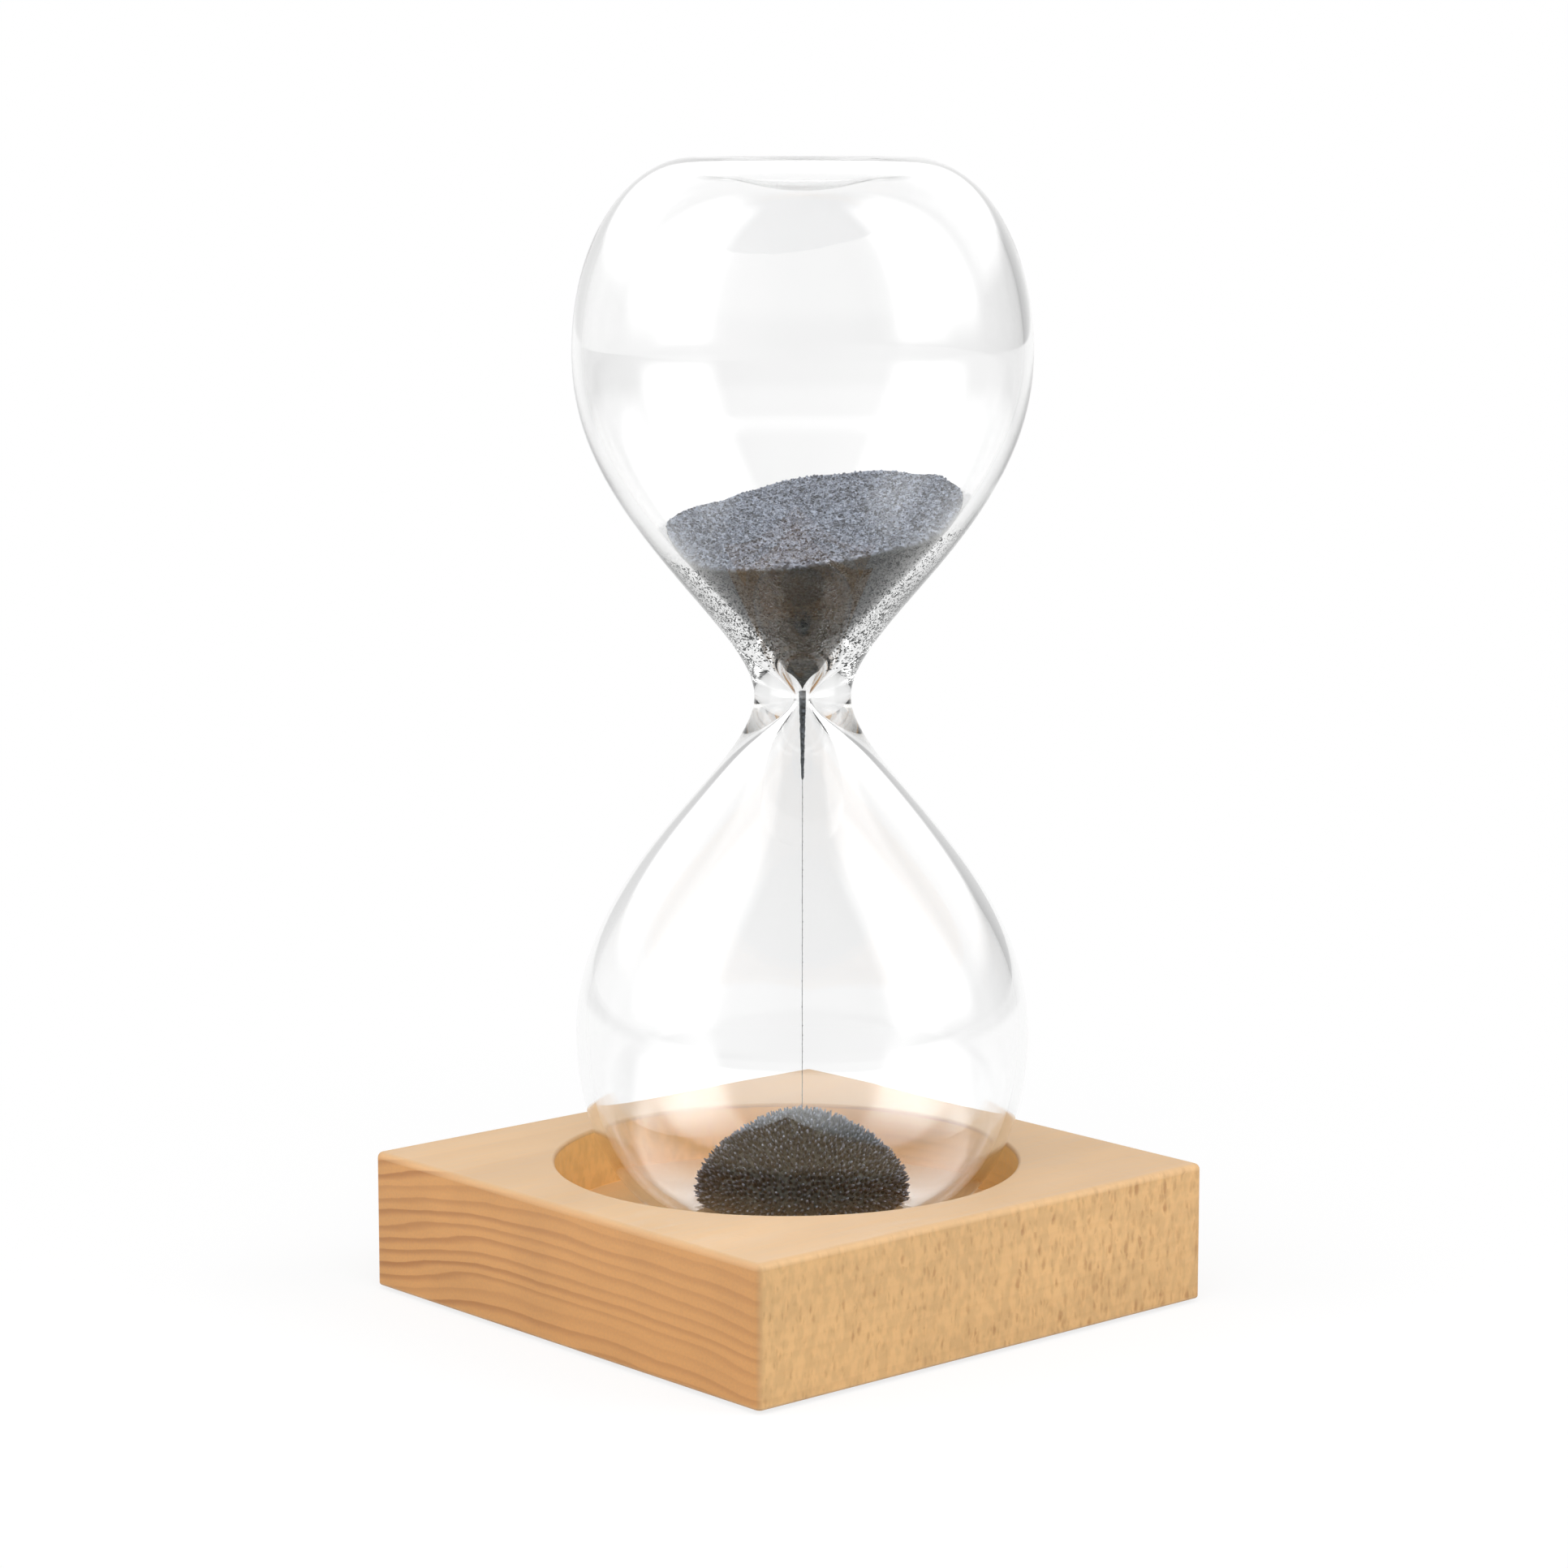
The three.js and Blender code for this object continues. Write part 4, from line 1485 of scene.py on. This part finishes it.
def painted_table_sheen(tree, away, facing):
    """Where the floor glows with a painted sheen that the outside of the glass mirrors: near the block, on
    the camera's side and at a low angle."""
    path = add_node(tree, "ShaderNodeLightPath").outputs
    mirrored = maths(tree, "SUBTRACT", path["Is Singular Ray"], path["Is Transmission Ray"])
    flatness = add_node(tree, "ShaderNodeLayerWeight", {"Blend": 0.5}).outputs["Facing"]
    shine = times(tree, mirrored, rising(tree, flatness, *GLOSS_FLATNESS))
    return times(tree, shine, falling(tree, away, *GLOSS_REACH), rising(tree, facing, *GLOSS_SIDE))


def dull(tree, grey):
    """A dull grey surface."""
    return add_node(tree, "ShaderNodeBsdfDiffuse", {"Color": (grey, grey, grey, 1)}).outputs[0]


def glowing(tree, strength):
    """A white surface that gives off light."""
    return add_node(tree, "ShaderNodeEmission", {"Color": WHITE, "Strength": strength}).outputs[0]


def floor_material(stage):
    """A white floor with a soft shadow near the object, which runs out into the white background. The glass
    mirrors a glowing table with a bright strip on each side, a painted sheen and a painted shadow near the
    block, and the lighting sees it as plain grey."""
    material, tree, output = new_material("floor")
    place = add_node(tree, "ShaderNodeTexCoord").outputs["Object"]
    away = add_node(tree, "ShaderNodeVectorMath", {0: place}, operation="LENGTH").outputs["Value"]
    facing = camera_side(tree, stage, place)
    shadow = remap(tree, away, *SHADOW_REACH, SHADOW_SHARE, 0.0)
    seen = mixed_shader(tree, shadow, glowing(tree, 1.0), dull(tree, SHADOW_SHADE))

    table = maths(tree, "MAXIMUM", falling(tree, away, *TABLE_EDGE), falling(tree, facing, *BEHIND))
    # The mirrored table is dimmed next to the block: a painted shadow.
    strength = blend(tree, table, stage.table, remap(tree, away, *TABLE_NEAR, TABLE_PAINTED_SHADOW, 1.0))
    strips = beside_camera(tree, facing, PANE_START, STRIP_END, STRIP_SOFT)
    strips = times(tree, strips, rising(tree, away, *STRIP_NEAR), falling(tree, away, *STRIP_FAR))
    strength = blend(tree, strips, strength, stage.strip)
    windows = beside_camera(tree, facing, GLOSS_START, GLOSS_END, STRIP_SOFT)
    painted_sheen = blend(tree, windows, stage.painted_sheen, WINDOW_GAIN * stage.painted_sheen)
    strength = blend(tree, painted_table_sheen(tree, away, facing), strength, painted_sheen)

    mirrored = straight_seen(tree, "Is Glossy Ray", "Is Transmission Ray")
    both = mixed_shader(tree, mirrored, dull(tree, FLOOR_GREY), glowing(tree, strength))
    both = mixed_shader(tree, looked_at(tree), both, seen)
    tree.links.new(both, output.inputs["Surface"])
    return material


def aim_at(thing, aim, azimuth, elevation, distance):
    """Puts a lamp or a camera at a distance from what it is aimed at."""
    back = towards(azimuth, elevation)
    thing.location = aim + back * distance
    thing.rotation_mode = "QUATERNION"
    thing.rotation_quaternion = (-back).to_track_quat("-Z", "Y")
    bpy.context.scene.collection.objects.link(thing)


def softbox(name, azimuth, elevation, distance, size, radiance):
    """A square soft lamp that shines at the object and stays out of sight."""
    lamp = bpy.data.lights.new(name, "AREA")
    lamp.shape = "SQUARE"
    lamp.size = size
    lamp.energy = radiance * math.pi * size * size
    thing = bpy.data.objects.new(name, lamp)
    thing.visible_camera = False
    thing.visible_glossy = False
    thing.visible_transmission = False
    aim_at(thing, upright(CAD_HIGH.z / 2), azimuth, elevation, distance)


class HOURGLASS_OT_stage(bpy.types.Operator):
    """Makes the white floor, the studio light and the camera"""

    bl_idname = "hourglass.stage"
    bl_label = "Studio"

    def execute(self, context):
        stage = context.scene.hourglass_stage
        context.scene.view_settings.view_transform = "Standard"
        context.scene.cycles.max_bounces = GLASS_BOUNCES
        context.scene.cycles.transmission_bounces = GLASS_BOUNCES
        context.scene.cycles.glossy_bounces = GLASS_BOUNCES
        context.scene.world = studio_world(stage)
        self.make_floor(stage)
        self.make_lamps(stage)
        self.make_camera(context.scene, stage)
        return {"FINISHED"}

    def make_floor(self, stage):
        """A floor that reaches past the picture."""
        bm = bmesh.new()
        bmesh.ops.create_grid(bm, x_segments=1, y_segments=1, size=FLOOR_REACH)
        mesh = bpy.data.meshes.new("floor")
        bm.to_mesh(mesh)
        bm.free()
        mesh.materials.append(floor_material(stage))
        place_object("floor", mesh)

    def make_lamps(self, stage):
        """A large lamp above the camera, and a smaller one on each side of it."""
        high = math.radians(58)
        low = math.radians(25)
        aside = math.radians(75)
        softbox("lamp_top", stage.azimuth, high, distance=1.0, size=0.9, radiance=2.5)
        softbox("lamp_right", stage.azimuth + aside, low, distance=0.85, size=0.6, radiance=3.6)
        softbox("lamp_left", stage.azimuth - aside, low, distance=0.85, size=0.6, radiance=3.0)

    def make_camera(self, scene, stage):
        """The camera that took the photograph."""
        lens = bpy.data.cameras.new("camera")
        lens.sensor_width = SENSOR
        lens.lens = SENSOR * stage.focal_pixels / IMAGE_PIXELS
        camera = bpy.data.objects.new("camera", lens)
        aim_at(camera, Vector(stage.aim), stage.azimuth, stage.elevation, stage.distance)
        scene.camera = camera


class HOURGLASS_PT_panel(bpy.types.Panel):
    """Lists the pieces of the hourglass"""

    bl_idname = "HOURGLASS_PT_panel"
    bl_label = "Hourglass"
    bl_space_type = "VIEW_3D"
    bl_region_type = "UI"
    bl_category = "Hourglass"

    def draw(self, context):
        for maker in MAKERS:
            self.layout.operator(maker.bl_idname)
        for name, group in GROUPS.items():
            self.layout.label(text=group.__doc__)
            for title in group.__annotations__:
                self.layout.prop(getattr(context.scene, name), title)


MAKERS = (
    HOURGLASS_OT_block,
    HOURGLASS_OT_magnet,
    HOURGLASS_OT_felt,
    HOURGLASS_OT_glass,
    HOURGLASS_OT_heap,
    HOURGLASS_OT_thread,
    HOURGLASS_OT_dome,
    HOURGLASS_OT_stage,
)
GROUPS = {
    "hourglass_glass": GlassSizes,
    "hourglass_block": BlockSizes,
    "hourglass_filings": FilingsSizes,
    "hourglass_finish": FinishColours,
    "hourglass_stage": StageSettings,
}


def register():
    """Adds the settings, the operators and the panel."""
    for name, group in GROUPS.items():
        bpy.utils.register_class(group)
        setattr(bpy.types.Scene, name, PointerProperty(type=group))
    for made in (*MAKERS, HOURGLASS_PT_panel):
        bpy.utils.register_class(made)


def unregister():
    """Takes them out again."""
    for made in (HOURGLASS_PT_panel, *reversed(MAKERS)):
        bpy.utils.unregister_class(made)
    for name, group in reversed(GROUPS.items()):
        delattr(bpy.types.Scene, name)
        bpy.utils.unregister_class(group)


def main():
    """Makes every piece and the stage."""
    register()
    bpy.ops.hourglass.block()
    bpy.ops.hourglass.magnet()
    bpy.ops.hourglass.felt()
    bpy.ops.hourglass.glass()
    bpy.ops.hourglass.heap()
    bpy.ops.hourglass.thread()
    bpy.ops.hourglass.dome()
    bpy.ops.hourglass.stage()


if __name__ == "__main__":
    main()
